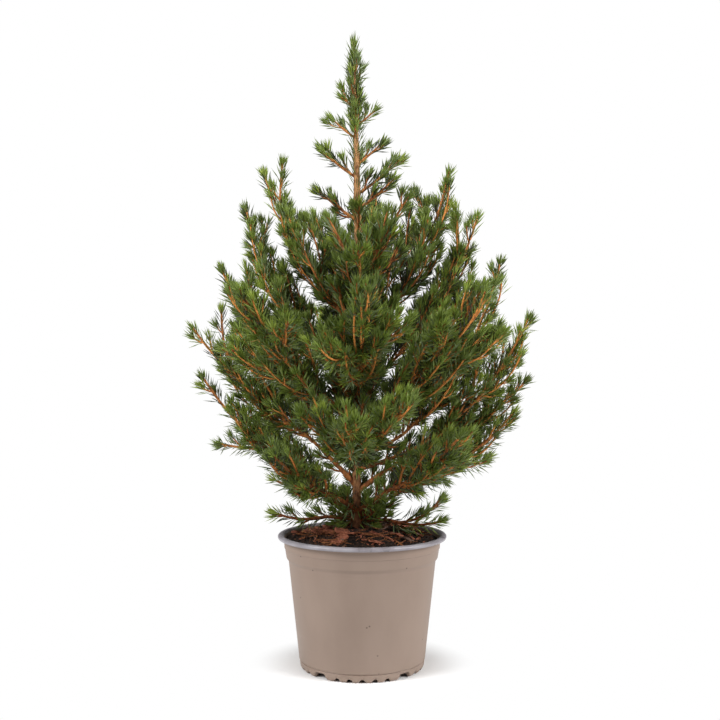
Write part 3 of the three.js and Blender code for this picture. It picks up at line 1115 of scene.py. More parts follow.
        # Only the lip's upper faces get the paler, greyer finish: a painted highlight.
        low = (self.neck_height + self.lip_rise) * MM
        inner = (self.neck - 0.4) * MM
        for face in mesh.polygons:
            centre = face.center
            if centre.z > low and math.hypot(centre.x, centre.y) > inner:
                face.material_index = 1


# ---- Soil ----


@dataclass
class Soil:
    """The compost in the pot: an uneven mound with crumbs, bark chips and fibres.

    Attributes:
        rings: Rings of the mound's mesh.
        sides: Points in each ring.
        swell: Height of the mound's lumps.
        hem: Gap between the mound's edge and the pot's wall.
        settled: The share of the radius beyond which the lumps level out.
        skirt: Share of the radius and depth of the mound's side, half way down.
        foot: Share of the radius and height of its underside.
    """

    rings: int = 46
    sides: int = 150
    swell: float = 1.5 * MM
    hem: float = 0.2 * MM
    settled: float = 0.9
    skirt: tuple[float, float] = (0.93, 24 * MM)
    foot: tuple[float, float] = (0.76, 2 * MM)

    def lift(self, x: float, y: float) -> float:
        """Give the height of the lumps at a place."""
        broad = noise.fractal(Vector((x * 55, y * 55, 3.0)), 0.8, 2.0, 3)
        fine = noise.fractal(Vector((x * 260, y * 260, 7.0)), 0.7, 2.0, 3)
        return self.swell * (0.6 * broad + 0.45 * fine)

    def mound(self) -> bpy.types.Object:
        """Build the mound, closed below, from the frame's soil.

        Returns:
            The mound.
        """
        solid = Solid("soil")
        low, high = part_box("soil")
        edge = float(np.hypot(solid.points[:, 0], solid.points[:, 1]).max()) - self.hem
        rows: list[tuple[float, float, float]] = []
        for ring in range(self.rings):
            radius = edge * (ring + 1) / self.rings
            for i in range(self.sides):
                angle = 2 * math.pi * i / self.sides
                x, y = radius * math.cos(angle), radius * math.sin(angle)
                top = solid.top_at(x * 0.985, y * 0.985) or high.z - 9 * MM
                settle = 1 - max(0.0, (ring + 1) / self.rings - self.settled) * 6
                rows.append((x, y, top + self.lift(x, y) * settle))
        rim = rows[-self.sides :]
        narrow, depth = self.skirt
        skirt = [(x * narrow, y * narrow, high.z - depth) for x, y, _ in rim]
        narrow, raised = self.foot
        foot = [(x * narrow, y * narrow, low.z + raised) for x, y, _ in rim]
        top_middle, foot_middle = (0.0, 0.0, solid.top_at(0, 0)), (0.0, 0.0, low.z + raised)
        points = np.array([*rows, *skirt, *foot, top_middle, foot_middle])
        count = self.sides
        faces = [(len(points) - 2, i, (i + 1) % count) for i in range(count)]
        faces += bands(self.rings + 1, count, inward=True)
        base = (self.rings + 1) * count
        faces += [(len(points) - 1, base + (i + 1) % count, base + i) for i in range(count)]
        made = mesh_object("soil_mound", points, faces)
        made.data.shade_smooth()
        return made

    def surface(self, margin: float) -> bpy.types.Object:
        """Give a bare copy of the mound's top, to strew things on.

        Args:
            margin: Room to the pot's wall, in metres, so that nothing pokes through it.

        Returns:
            The copy.
        """
        _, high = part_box("soil")
        mound = bpy.data.objects["soil_mound"].data
        tops = [f for f in mound.polygons if f.normal.z > 0.3 and f.center.z > high.z - 16 * MM]
        inner = [f for f in tops if math.hypot(f.center.x, f.center.y) < high.x - margin]
        return mesh_object("strewing", [v.co for v in mound.vertices], [tuple(f.vertices) for f in inner])

    def build(self) -> None:
        """Build the mound and everything that lies on it."""
        compost = EarthFinish("compost", srgb(15, 8, 5), srgb(48, 31, 22), 420).material()
        dress(self.mound(), ["soil"], [compost])
        ball = {"Radius": 1.0, "Subdivisions": 1}
        crumbs = scatter_recipe("crumbs", "GeometryNodeMeshIcoSphere", ball, (1.0, 0.9, 0.75))
        slab = {"Size": (2, 2, 2), "Vertices X": 5, "Vertices Y": 4, "Vertices Z": 3}
        chips = scatter_recipe("chips", "GeometryNodeMeshCube", slab, (1.0, 0.4, 0.12))
        rod = {"Size": (2, 2, 2), "Vertices X": 9, "Vertices Y": 2, "Vertices Z": 2}
        fibres = scatter_recipe("fibres", "GeometryNodeMeshCube", rod, (1.0, 0.055, 0.045))
        dark = EarthFinish("crumb_dark", srgb(14, 8, 5), srgb(44, 28, 20), 700).material()
        brown = EarthFinish("crumb_brown", srgb(38, 22, 14), srgb(92, 58, 38), 700).material()
        red = EarthFinish("chip_red", srgb(84, 44, 31), srgb(170, 104, 78), 500, (1, 3, 3)).material()
        grey = EarthFinish("chip_grey", srgb(66, 46, 38), srgb(124, 98, 84), 500, (1, 3, 3)).material()
        straw = EarthFinish("fibre", srgb(80, 44, 26), srgb(150, 96, 58), 900).material()
        plans = [
            ("soil_crumbs", crumbs, dark, (90000, 0.6, 2.2, 0.7, 0.3, 3.0, 11)),
            ("soil_grit", crumbs, brown, (36000, 0.5, 1.7, 0.8, 0.1, 3.0, 12)),
            ("bark_chips", chips, red, (8200, 1.4, 8.6, 0.45, -0.8, 0.4, 13)),
            ("bark_bits", chips, red, (9000, 0.9, 3.2, 0.5, -0.6, 0.6, 16)),
            ("bark_flakes", chips, grey, (3600, 1.6, 8.0, 0.6, -0.8, 0.45, 14)),
            ("fibres", fibres, straw, (26000, 2.5, 9.5, 0.9, -1.0, 0.22, 15)),
        ]
        for name, recipe, finish, (density, least, most, rough, sink, tilt, seed) in plans:
            sizes = {"Density": float(density), "Least": least * MM, "Most": most * MM, "Rough": rough}
            rest = {"Sink": sink * MM, "Tilt": tilt, "Seed": seed, "Material": finish}
            bare = self.surface((most + 1.0) * MM)
            dress(recipe.make(bare, name, {**sizes, **rest}))


# ---- Trunk and boughs ----


@dataclass
class Limb:
    """A length of wood: its path and its radius from foot to tip."""

    path: Path
    radii: np.ndarray

    def radius(self, distance: Any) -> np.ndarray:
        """Give the radius at these distances along the path."""
        return np.interp(distance, self.path.run, self.radii)


class Relief:
    """The bark's relief, as a share of the limb's radius."""

    @staticmethod
    def height(angle: float, run: float, seed: float) -> float:
        """Give the relief at one point of a limb's skin.

        Args:
            angle: The point's bearing round the limb.
            run: Its distance along the limb.
            seed: A number of the limb's own.

        Returns:
            The rise, where 1 is the limb's own radius.
        """
        around = Vector((math.cos(angle) * 1.6 + seed, math.sin(angle) * 1.6, run * 240))
        ridges = noise.fractal(around, 0.9, 2.1, 3)
        flakes = noise.cell(Vector((angle * 1.3 + seed, run * 420, seed)))
        pegs = max(0.0, math.sin(run * 2100 + angle * 3) * math.sin(angle * 4 - run * 900))
        return 0.13 * ridges + 0.06 * flakes + 0.1 * pegs


def skin(limb: Limb, sides: int, step: float, seed: float) -> tuple[np.ndarray, list[tuple[int, ...]]]:
    """Wrap a limb in bark.

    Args:
        limb: The limb.
        sides: Points round it.
        step: Distance between its rings.
        seed: A number of the limb's own.

    Returns:
        The points and faces of its closed skin.
    """
    count = max(3, int(limb.path.length / step) + 1)
    runs = np.linspace(0, limb.path.length, count)
    middles, headings = limb.path.at(runs), limb.path.heading(runs)
    side, other = across_frames(headings)
    angles = 2 * np.pi * np.arange(sides) / sides
    points = []
    for k in range(count):
        radius = float(limb.radius(runs[k]))
        for angle in angles:
            outward = side[k] * math.cos(angle) + other[k] * math.sin(angle)
            rise = 1 + Relief.height(float(angle), float(runs[k]), seed)
            points.append(middles[k] + outward * radius * rise)
    faces = bands(count - 1, sides)
    faces.append(tuple(reversed(range(sides))))
    faces.append(tuple((count - 1) * sides + i for i in range(sides)))
    return np.array(points), faces


class Trunk:
    """The trunk, read from the frame and wrapped in bark."""

    def __init__(self) -> None:
        """Read the trunk's middle line and radius at even heights."""
        solid = Solid("trunk")
        low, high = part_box("trunk")
        shares = np.concatenate((np.linspace(0.001, 0.07, 7), np.linspace(0.09, 0.995, 34)))
        heights = low.z + shares * (high.z - low.z)
        cuts = [solid.section(np.array([0, 0, height]), UP) for height in heights]
        middles = np.array([middle for middle, _ in cuts])
        radii = np.array([radius for _, radius in cuts])
        middles[0, 2] = low.z
        self.limb = Limb(Path(middles), radii)

    def middle(self, height: float) -> np.ndarray:
        """Give the trunk's middle at a height."""
        points = self.limb.path.points
        return np.array([np.interp(height, points[:, 2], points[:, k]) for k in range(2)] + [height])

    def radius_at(self, height: float) -> float:
        """Give the trunk's radius at a height."""
        return float(np.interp(height, self.limb.path.points[:, 2], self.limb.radii))

    def build(self) -> bpy.types.Object:
        """Build the trunk's bark.

        Returns:
            The bark.
        """
        points, faces = skin(self.limb, 22, 1.1 * MM, 0.0)
        made = mesh_object("trunk_bark", points, faces)
        made.data.shade_smooth()
        bark = BarkFinish("trunk_bark", srgb(172, 126, 80), srgb(98, 64, 38), 520)
        return dress(made, ["trunk"], [bark.material()])


def read_bough(node: str, trunk: Trunk) -> Limb:
    """Read one bough of the frame, from the trunk's middle to its outer end.

    Args:
        node: The bough's name in the frame.
        trunk: The trunk that it grows from.

    Returns:
        The bough as a limb.
    """
    solid = Solid(node)
    centre = solid.points.mean(axis=0)
    _, _, axes = np.linalg.svd(solid.points - centre)
    chord = axes[0]
    if chord @ (centre - trunk.middle(centre[2])) < 0:
        chord = -chord
    along = (solid.points - centre) @ chord
    low, high = along.min(), along.max()
    shares = (0.14, 0.35, 0.6, 0.8, 0.97)
    cuts = [solid.section(centre + chord * (low + (high - low) * share), chord) for share in shares]
    middles = np.array([middle for middle, _ in cuts])
    radii = np.array([radius for _, radius in cuts])
    inward = unit(middles[0] - middles[1])
    gap = np.linalg.norm((middles[0] - trunk.middle(middles[0][2]))[:2])
    start = middles[0] + inward * gap / max(np.linalg.norm(inward[:2]), 0.3)
    start = trunk.middle(start[2])
    end = middles[-1] + unit(middles[-1] - middles[-2]) * (high - low) * 0.03
    widths = np.concatenate(([radii[0] * 1.25], radii, [radii[-1]]))
    return Limb(Path(np.vstack([start, middles, end])), widths)


# ---- Crown ----


class Rank(Enum):
    """How far a shoot is from the trunk."""

    LEADER = 0
    BOUGH = 1
    SIDE = 2
    TWIG = 3


@dataclass
class Shoot:
    """One shoot that carries needles.

    Attributes:
        limb: Its path and radii.
        rank: How far it is from the trunk.
        leafy_from: The share of its length where its needles begin.
        exposure: From 0, deep in the crown, to 1, at its outside.
    """

    limb: Limb
    rank: Rank
    leafy_from: float
    exposure: float


@dataclass(frozen=True)
class BranchingRule:
    """How side shoots leave a shoot, and how long they grow.

    Attributes:
        spacing: Mean distance between side shoots.
        angle: Angle between a side shoot's chord and its parent.
        flare: How much wider than its chord it leaves the parent.
        rise: How much a side shoot turns upwards, against its own direction.
        shortest: Side shoots shorter than this aren't grown.
        longest: The greatest length of a side shoot.
        dominance: Length of a side shoot, as a share of what its parent has beyond it.
        first: Distance along the parent to the first side shoot.
        margin: Room left between a tip and the mass's surface, for the needles.
    """

    spacing: float
    angle: float
    flare: float
    rise: float
    shortest: float
    longest: float
    dominance: float
    first: float
    margin: float

    @classmethod
    def sized(cls, **sizes: float) -> "BranchingRule":
        """Make a rule from lengths in millimetres, angles in degrees and plain shares.

        Args:
            sizes: The rule's attributes by name.

        Returns:
            The rule, in metres and radians.
        """
        angles = {key: math.radians(sizes.pop(key)) for key in ("angle", "flare")}
        shares = {key: sizes.pop(key) for key in ("rise", "dominance")}
        return cls(**angles, **shares, **{key: size * MM for key, size in sizes.items()})


SIDE_RULE = BranchingRule.sized(
    spacing=4.6, angle=21, flare=16, rise=0.45, shortest=19, longest=82, dominance=0.9, first=4, margin=4
)
TWIG_RULE = BranchingRule.sized(
    spacing=12.5, angle=34, flare=10, rise=0.28, shortest=4, longest=12, dominance=0.5, first=3, margin=-3
)
INNER_RULE = BranchingRule.sized(
    spacing=2.8, angle=46, flare=14, rise=0.35, shortest=14, longest=48, dominance=0.2, first=2, margin=0
)
LEADER_TWIG_RULE = BranchingRule.sized(
    spacing=7, angle=32, flare=10, rise=0.3, shortest=4, longest=12, dominance=0.5, first=3, margin=-3
)
TOP_RULE = BranchingRule.sized(
    spacing=3.6, angle=26, flare=14, rise=0.1, shortest=5, longest=11, dominance=0.3, first=2, margin=-1
)
FOOT_RULE = BranchingRule.sized(
    spacing=1.8, angle=72, flare=12, rise=0.12, shortest=9, longest=27, dominance=0.9, first=1, margin=0
)
BARE_RULE = BranchingRule.sized(
    spacing=6.5, angle=48, flare=12, rise=0.4, shortest=6, longest=17, dominance=0.9, first=9, margin=-13
)


@dataclass(frozen=True)
class NeedleRule:
    """How needles stand on a shoot.

    Attributes:
        density: Needles for each metre of a young shoot.
        length: Length of a full-grown needle.
        width: Half of a needle's width.
        spread: Angle of a full-grown needle from its shoot.
        sweep: How much smaller that angle is at the very tip.
        tuft: Needles in the brush at a tip.
        tip_zone: Length of the young end of a shoot.
        brush: Length of shoot that carries the brush.
        brush_spread: The widest angle in the brush.
        brush_reach: The least and greatest length in the brush, as shares.
        leader_tuft: How many more needles the leader's brush has.
        leader_brush: Length of trunk that carries it.
        leader_brush_spread: Its widest angle, as a share.
        leader_brush_reach: Its least and greatest length, as shares.
        leader_length: Length of the leader's needles, as a share.
        flatness: A needle's thickness, as a share of its width.
        sunk: Where a needle's foot is, as a share of the wood's radius.
        rise: How much needles turn upwards.
        tilt_jitter: Chance change of a needle's angle, in radians.
        turn_jitter: Chance change of its bearing round the shoot.
        stray: Chance change of its direction.
        length_range: Range of lengths, as shares.
        width_range: Range of widths, as shares.
    """

    density: float = 1250.0
    length: float = 12.4 * MM
    width: float = 0.46 * MM
    spread: float = math.radians(50)
    sweep: float = 0.5
    tuft: int = 17
    tip_zone: float = 9 * MM
    brush: float = 3.6 * MM
    brush_spread: float = math.radians(34)
    brush_reach: tuple[float, float] = (0.66, 0.92)
    leader_tuft: int = 60
    leader_brush: float = 15 * MM
    leader_brush_spread: float = 0.8
    leader_brush_reach: tuple[float, float] = (0.6, 0.85)
    leader_length: float = 1.12
    flatness: float = 0.8
    sunk: float = 0.6
    rise: float = 0.06
    tilt_jitter: float = 0.13
    turn_jitter: float = 0.3
    stray: float = 0.05
    length_range: tuple[float, float] = (0.82, 1.1)
    width_range: tuple[float, float] = (0.85, 1.15)


NEEDLE_SHARES = {Rank.LEADER: 1.75, Rank.BOUGH: 0.85, Rank.SIDE: 0.85, Rank.TWIG: 1.1}


@dataclass
class Crown:
    """Everything that grows from the trunk: boughs, shoots, needles and buds."""

    trunk: Trunk
    needle_rule: NeedleRule = NeedleRule()
    rng: np.random.Generator = field(default_factory=lambda: np.random.default_rng(SEED))
    shoots: list[Shoot] = field(default_factory=list)
    outline: tuple[np.ndarray, np.ndarray] = field(init=False)

    def __post_init__(self) -> None:
        """Read the crown's outline."""
        self.outline = self.read_outline()

    # ---- growing ----

    def exposure_at(self, place: np.ndarray) -> float:
        """Give how near a place is to the crown's outside, from 0 to 1."""
        away = float(np.linalg.norm(place[:2]))
        return float(np.clip(away / np.interp(place[2], *self.outline), 0, 1))

    def read_outline(self) -> tuple[np.ndarray, np.ndarray]:
        """Read how wide the crown is.

        Returns:
            Heights, and the crown's reach from the pot's axis at each.
        """
        masses = [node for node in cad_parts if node.startswith(FOLIAGE)]
        points = np.vstack([Solid(node).points for node in masses])
        away = np.hypot(points[:, 0], points[:, 1])
        heights = np.arange(points[:, 2].min(), points[:, 2].max(), OUTLINE_STEP)
        near = [away[np.abs(points[:, 2] - height) < OUTLINE_STEP] for height in heights]
        return heights, np.array([np.percentile(reach, 90) for reach in near])

    def add(self, path: Path, foot: float, tip: float, rank: Rank, leafy_from: float) -> Shoot:
        """Add one shoot.

        Args:
            path: Its path.
            foot: Its radius at its foot.
            tip: Its radius at its tip.
            rank: How far it is from the trunk.
            leafy_from: The share of its length where its needles begin.

        Returns:
            The shoot.
        """
        count = len(path.points)
        radii = tip + (foot - tip) * (1 - path.run / path.length) ** 0.8
        shoot = Shoot(Limb(path, radii), rank, leafy_from, self.exposure_at(path.points[count // 2]))
        self.shoots.append(shoot)
        return shoot

    def grow_bough(self, name: str) -> None:
        """Grow one bough through its mass, its forks and their shoots.

        Args:
            name: The name that the bough and its mass share.
        """
        limb = read_bough(BOUGH + name, self.trunk)
        mass = Solid(FOLIAGE + name)
        end = limb.path.points[-1]
        heading = unit(limb.path.points[-1] - limb.path.points[-3])
        tips = mass.tips(end, *BOUGH_TIPS)
        reaches = [np.linalg.norm(t - end) * (0.4 + 0.6 * unit(t - end) @ heading) for t in tips]
        order = np.argsort(reaches)[::-1]
        tip = self.inside_tip(end, tips[order[0]])
        inner = Path.bend(end, self.knee(end, heading, tip), tip, 14)
        whole = limb.path.onward(inner)
        thin = np.interp(inner.run[1:], [0, inner.length], [limb.radii[-1], WOOD_TIP])
        bough = Limb(whole, np.concatenate((limb.radii, thin)))
        bare = limb.path.length / whole.length
        main = Shoot(bough, Rank.BOUGH, bare * 0.9, self.exposure_at(end))
        self.shoots.append(main)
        self.grow_sides(main, mass, BARE_RULE, 0.0, limb.path.length)
        self.grow_sides(main, mass, TWIG_RULE, limb.path.length)
        if name not in SKIRTS:
            self.grow_sides(main, mass, SIDE_RULE, limb.path.length)
        for index in order[1:]:
            self.grow_fork(main, mass, tips[index], limb.path.length)

    def inside_tip(self, base: np.ndarray, tip: np.ndarray) -> np.ndarray:
        """Give where the wood ends below a mass's tip, with room for the needles."""
        return tip - unit(tip - base) * TIP_ROOM

    @staticmethod
    def knee(start: np.ndarray, heading: np.ndarray, tip: np.ndarray) -> np.ndarray:
        """Give the bend of a shoot that leaves along a heading and ends more upright.

        Args:
            start: Where it starts.
            heading: The way it leaves.
            tip: Where it ends.

        Returns:
            The bend, for Path.bend.
        """
        reach = float(np.linalg.norm(tip - start))
        leaving = start + heading * reach * 0.45
        chord = unit(tip - start)
        upright = 0.75 * (1 - FACE_BOW * max(0.0, -chord[1]))
        below = tip - unit(chord + UP * upright) * reach * 0.5
        return leaving * 0.4 + below * 0.6

    def grow_fork(self, main: Shoot, mass: Solid, tip: np.ndarray, bare: float) -> None:
        """Grow a fork from a bough to another tip of its mass.

        Args:
            main: The bough.
            mass: Its mass.
            tip: The tip that the fork grows to.
            bare: Length of the bough before its mass.
        """
        path = main.limb.path
        tip = self.inside_tip(path.at(bare), tip)
        runs = np.linspace(bare * 0.9, path.length * 0.8, 30)
        feet = path.at(runs)
        cosines = (unit(tip - feet) * path.heading(runs)).sum(axis=1)
        best = int(np.argmin(np.abs(cosines - math.cos(FORK_ANGLE))))
        foot = feet[best]
        bend = self.knee(foot, path.heading(runs[best]), tip)
        thick = float(main.limb.radius(runs[best])) * NARROWING
        fork = self.add(Path.bend(foot, bend, tip, 12), thick, 0.8 * MM, Rank.BOUGH, 0.1)
        self.grow_sides(fork, mass, SIDE_RULE, 4 * MM)
        self.grow_sides(fork, mass, TWIG_RULE, 4 * MM)

    def room(self, mass: Solid | None, foot: np.ndarray, direction: np.ndarray, rule: BranchingRule) -> float:
        """Give how far a shoot may grow: to its mass's surface, less or more deep in the crown.

        Args:
            mass: The mass that it fills; without one it grows freely.
            foot: Where it starts.
            direction: Where it heads.
            rule: Its branching rule.

        Returns:
            The distance.
        """
        if mass is None:
            return rule.longest
        out = self.exposure_at(foot)
        spread = FACE_SPREAD if mass.name.startswith(FACES) and rule is SIDE_RULE else 0.0
        return mass.room(foot, direction) - rule.margin * out + INNER_SPREAD * (1 - out) + spread

    def grow_sides(
        self, parent: Shoot, mass: Solid | None, rule: BranchingRule, start: float, stop: float | None = None
    ) -> None:
        """Grow side shoots along a shoot, as far as its mass gives room.

        Args:
            parent: The shoot that they leave.
            mass: The mass that they fill.
            rule: The branching rule.
            start: Distance along the parent where they begin.
            stop: Distance along the parent where they end; otherwise its tip.
        """
        path = parent.limb.path
        run = start + rule.first * self.rng.uniform(0.4, 1.2)
        turn = self.rng.uniform(0, 2 * math.pi)
        stop = path.length - 4 * MM if stop is None else stop
        while run < stop:
            foot = path.at(run)
            heading = path.heading(run)
            side, other = across_frames(heading[None, :])
            turn += GOLDEN_ANGLE + self.rng.normal(0, TURN_JITTER)
            outward = side[0] * math.cos(turn) + other[0] * math.sin(turn)
            angle = rule.angle + self.rng.normal(0, ANGLE_JITTER)
            chord = heading * math.cos(angle) + outward * math.sin(angle)
            direction = unit(chord + UP * rule.rise * (1 - FACE_BOW * max(0.0, -chord[1])))
            wide = angle + rule.flare
            leaving = heading * math.cos(wide) + outward * math.sin(wide)
            slant = float(np.linalg.norm(np.cross(direction, heading)))
            clear = (float(parent.limb.radius(run)) + BARK_CLEARANCE) / max(slant, 0.3)
            room = self.room(mass, foot + direction * clear, direction, rule)
            reach = min(room, rule.longest, rule.dominance * (path.length - run) + 8 * MM)
            reach *= self.rng.uniform(*REACH_RANGE)
            run += rule.spacing * self.rng.uniform(*SPACING_RANGE)
            if reach < rule.shortest:
                continue
            bend = foot + leaving * reach * 0.5
            end = foot + direction * reach + outward * self.rng.normal(0, SWAY) * reach
            rank = Rank.SIDE if rule in (SIDE_RULE, INNER_RULE, FOOT_RULE) else Rank.TWIG
            thick = min(float(parent.limb.radius(run)) * NARROWING, (0.8 + reach / MM * 0.016) * MM)
            steps = 3 + int(reach / (9 * MM))
            made = self.add(Path.bend(foot, bend, end, steps), thick, thick * 0.72, rank, 0.06)
            if rank is Rank.SIDE:
                self.grow_sides(made, mass, TWIG_RULE, 0.0)

    def grow_leader(self) -> None:
        """Grow the shoots on the upper trunk, and clothe its top."""
        path = self.trunk.limb.path
        for name in LEADER_MASSES:
            mass = Solid(name)
            low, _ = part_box(name)
            base = self.trunk.middle(max(low.z, path.points[0, 2]))
            for tip in mass.tips(base, *LEADER_TIPS):
                if np.linalg.norm(tip[:2] - self.trunk.middle(tip[2])[:2]) < LEADER_CLEAR:
                    continue
                self.grow_leader_shoot(mass, self.inside_tip(self.trunk.middle(tip[2] - 12 * MM), tip))
        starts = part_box(LEADER_MASSES[0])[0].z
        run = float(np.interp(starts, path.points[:, 2], path.run))
        leader = Shoot(self.trunk.limb, Rank.LEADER, run / path.length, 0.8)
        self.shoots.append(leader)
        top = Solid(LEADER_MASSES[-1])
        self.grow_sides(leader, top, TOP_RULE, path.length - TOP_SHOOTS[0], path.length - TOP_SHOOTS[1])
        for rule, heights in ((INNER_RULE, INNER_HEIGHTS), (FOOT_RULE, FOOT_HEIGHTS)):
            first, last = np.interp(heights, path.points[:, 2], path.run)
            self.grow_sides(leader, None, rule, float(first), float(last))

    def grow_leader_shoot(self, mass: Solid, tip: np.ndarray) -> None:
        """Grow one shoot from the upper trunk to a tip.

        Args:
            mass: The mass that it fills.
            tip: Where it ends.
        """
        away = np.linalg.norm(tip[:2] - self.trunk.middle(tip[2])[:2])
        foot = self.trunk.middle(tip[2] - away * 0.8)
        bend = foot * 0.5 + tip * 0.5 - UP * away * 0.08
        thick = max(0.7 * MM, self.trunk.radius_at(foot[2]) * 0.5)
        shoot = self.add(Path.bend(foot, bend, tip, 9), thick, 0.65 * MM, Rank.BOUGH, 0.12)
        self.grow_sides(shoot, mass, LEADER_TWIG_RULE, 5 * MM)

    # ---- needles ----

    def stations(self, shoot: Shoot) -> tuple[np.ndarray, np.ndarray]:
        """Space a shoot's needles along it, with a brush at its tip.

        Args:
            shoot: The shoot.

        Returns:
            Each needle's distance along the shoot, and which needles are in the brush.
        """
        rule, rng, length = self.needle_rule, self.rng, shoot.limb.path.length
        leafy = length * (1 - shoot.leafy_from)
        count = max(4, int(leafy * rule.density * NEEDLE_SHARES[shoot.rank]))
        runs = length - leafy * (np.arange(count) + rng.uniform(0, 1, count)) / count
        if shoot.rank in (Rank.BOUGH, Rank.LEADER):
            runs = runs[rng.uniform(0, 1, count) < np.interp(length - runs, *BARE_WOOD)]
        leads = shoot.rank is Rank.LEADER
        brush = rule.tuft + int(rng.integers(0, 7)) + (rule.leader_tuft if leads else 0)
        depth = rule.leader_brush if leads else rule.brush
        runs = np.concatenate((runs, length - rng.uniform(0, 1, brush) * depth))
        return runs, np.arange(len(runs)) >= len(runs) - brush

    def clothe(self, shoot: Shoot) -> dict[Green, list[np.ndarray]]:
        """Set needles along a shoot and in a brush at its tip.

        Args:
            shoot: The shoot.

        Returns:
            Rows of place, direction, bend and size for each green.
        """
        rule, rng, path = self.needle_rule, self.rng, shoot.limb.path
        leads = shoot.rank is Rank.LEADER
        runs, in_brush = self.stations(shoot)
        left, total = path.length - runs, len(runs)
        young = np.exp(-left / rule.tip_zone)
        swept = float(np.interp(path.points[-1, 2], SWEEP_HEIGHTS, SWEEP_SHARES))
        tilt = rule.spread * swept * (1 - rule.sweep * young) + rng.normal(0, rule.tilt_jitter, total)
        fan = rule.brush_spread * (rule.leader_brush_spread if leads else 1.0)
        tilt = np.where(in_brush, rng.uniform(0.04, 1.0, total) ** 1.4 * fan, tilt)
        turns = np.arange(total) * GOLDEN_ANGLE + rng.normal(0, rule.turn_jitter, total)
        headings = path.heading(runs)
        side, other = across_frames(headings)
        outward = side * np.cos(turns)[:, None] + other * np.sin(turns)[:, None]
        along = headings * np.cos(tilt)[:, None] + outward * np.sin(tilt)[:, None]
        along = unit(along + UP * rule.rise + rng.normal(0, rule.stray, (total, 3)))
        full = rule.length * (rule.leader_length if leads else 1.0)
        reach = full * (1 - 0.2 * young) * rng.uniform(*rule.length_range, total)
        shares = rule.leader_brush_reach if leads else rule.brush_reach
        reach = np.where(in_brush, rule.length * rng.uniform(*shares, total), reach)
        wide = rule.width * rng.uniform(*rule.width_range, total) * (1.3 - 0.35 * shoot.exposure)
        feet = path.at(runs) + outward * shoot.limb.radius(runs)[:, None] * rule.sunk
        rows = np.hstack([feet, along, headings, np.stack([wide, wide * rule.flatness, reach], axis=1)])
        away = unit((feet - self.trunk.middle(float(feet[0, 2]))) * (1.0, 1.0, 0.0))
        outer = ((outward * away).sum(axis=1) > BARE_FACE) & (left > BARE_FACE_FROM) & (not leads)
        kept = ~outer | (rng.uniform(0, 1, total) > BARE_FACE_SHARE)
        return self.deal(shoot, rows[kept], left[kept], in_brush[kept])

    def deal(
        self, shoot: Shoot, rows: np.ndarray, left: np.ndarray, in_brush: np.ndarray
    ) -> dict[Green, list[np.ndarray]]:
        """Deal a shoot's needles their greens: one for its brush, one for its young and one for its old end.

        Args:
            shoot: The shoot.
            rows: The needles.
            left: Distance from each needle to the shoot's tip.
            in_brush: Which needles are in the brush.

        Returns:
            The needles by green.
        """
        rng, out = self.rng, shoot.exposure
        # Shoots deep in the crown get more of the darkest greens, painted shade of the crown's inside; outer
        # shoots get more of the palest greens.
        deep = 1 - min(1.0, out / 0.6)
        brush = rng.choice(BRUSH_GREENS, p=[0.24 * out, 0.42, 0.58 - 0.24 * out])
        shares = np.array([0.28 * out, 0.3 * out + 0.05, 0.24, 0.16, 0.1 + 0.5 * deep])
        young = rng.choice(YOUNG_GREENS, p=shares / shares.sum())
        shares = np.array([0.22, 0.22 * out, 0.3, 0.22 + 0.4 * deep, 0.02])
        old = rng.choice(OLD_GREENS, p=shares / shares.sum())
        far = (left > rng.uniform(16, 30) * MM) & ~in_brush & (shoot.rank is not Rank.LEADER)
        near = ~far & ~in_brush
        dealt: dict[Green, list[np.ndarray]] = {}
        for green, chosen in ((brush, in_brush), (young, near), (old, far)):
            if chosen.any():
                dealt.setdefault(green, []).append(rows[chosen])
        return dealt

    def build_needles(self) -> None:
        """Build the needles, one or more pieces for each green."""
        dealt: dict[Green, list[np.ndarray]] = {green: [] for green in Green}
        for shoot in self.shoots:
            for green, rows in self.clothe(shoot).items():
                dealt[green].extend(rows)
        masses = [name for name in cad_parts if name.startswith(FOLIAGE)]
        recipe = needle_recipe()
        bend = 0.09 / (self.needle_rule.width / MM)
        for green in Green:
            rows = np.vstack(dealt[green])
            finish = NeedleFinish(green).material()
            pieces = max(1, math.ceil(len(rows) / PIECE_NEEDLES))
            for part, chunk in enumerate(np.array_split(rows, pieces)):
                name = f"needles_{green.name.lower()}_{part + 1}"
                made = recipe.make(self.cloud(chunk), name, {"Bend": bend, "Material": finish})
                dress(made, masses if green is Green.LEAF and part == 0 else ())
        log.info("needles: %d", sum(len(r) for rows in dealt.values() for r in rows))

    @staticmethod
    def cloud(rows: np.ndarray) -> bpy.types.Object:
        """Make the points that a recipe sets shapes on.

        Args:
            rows: Place, direction, bend and size of each, three numbers apiece.

        Returns:
            The points as an object.
        """
        made = mesh_object("points", rows[:, :3])
        for column, name in ((3, "along"), (6, "toward"), (9, "size")):
            set_vectors(made.data, name, rows[:, column : column + 3])
        return made

    # ---- wood ----

    def build_boughs(self) -> None:
        """Build the bark of the boughs and their forks."""
        names = [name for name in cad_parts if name.startswith(BOUGH)]
        all_points, all_faces, total = [], [], 0
        for index, shoot in enumerate(s for s in self.shoots if s.rank is Rank.BOUGH):
            points, faces = skin(shoot.limb, 9, 1.7 * MM, 3.7 + index)
            all_faces += [tuple(i + total for i in face) for face in faces]
            all_points.append(points)
            total += len(points)
        made = mesh_object("bough_bark", np.vstack(all_points), all_faces)
        made.data.shade_smooth()
        bark = BarkFinish("bough_bark", srgb(186, 120, 62), srgb(108, 62, 30), 560)
        dress(made, names, [bark.material()])

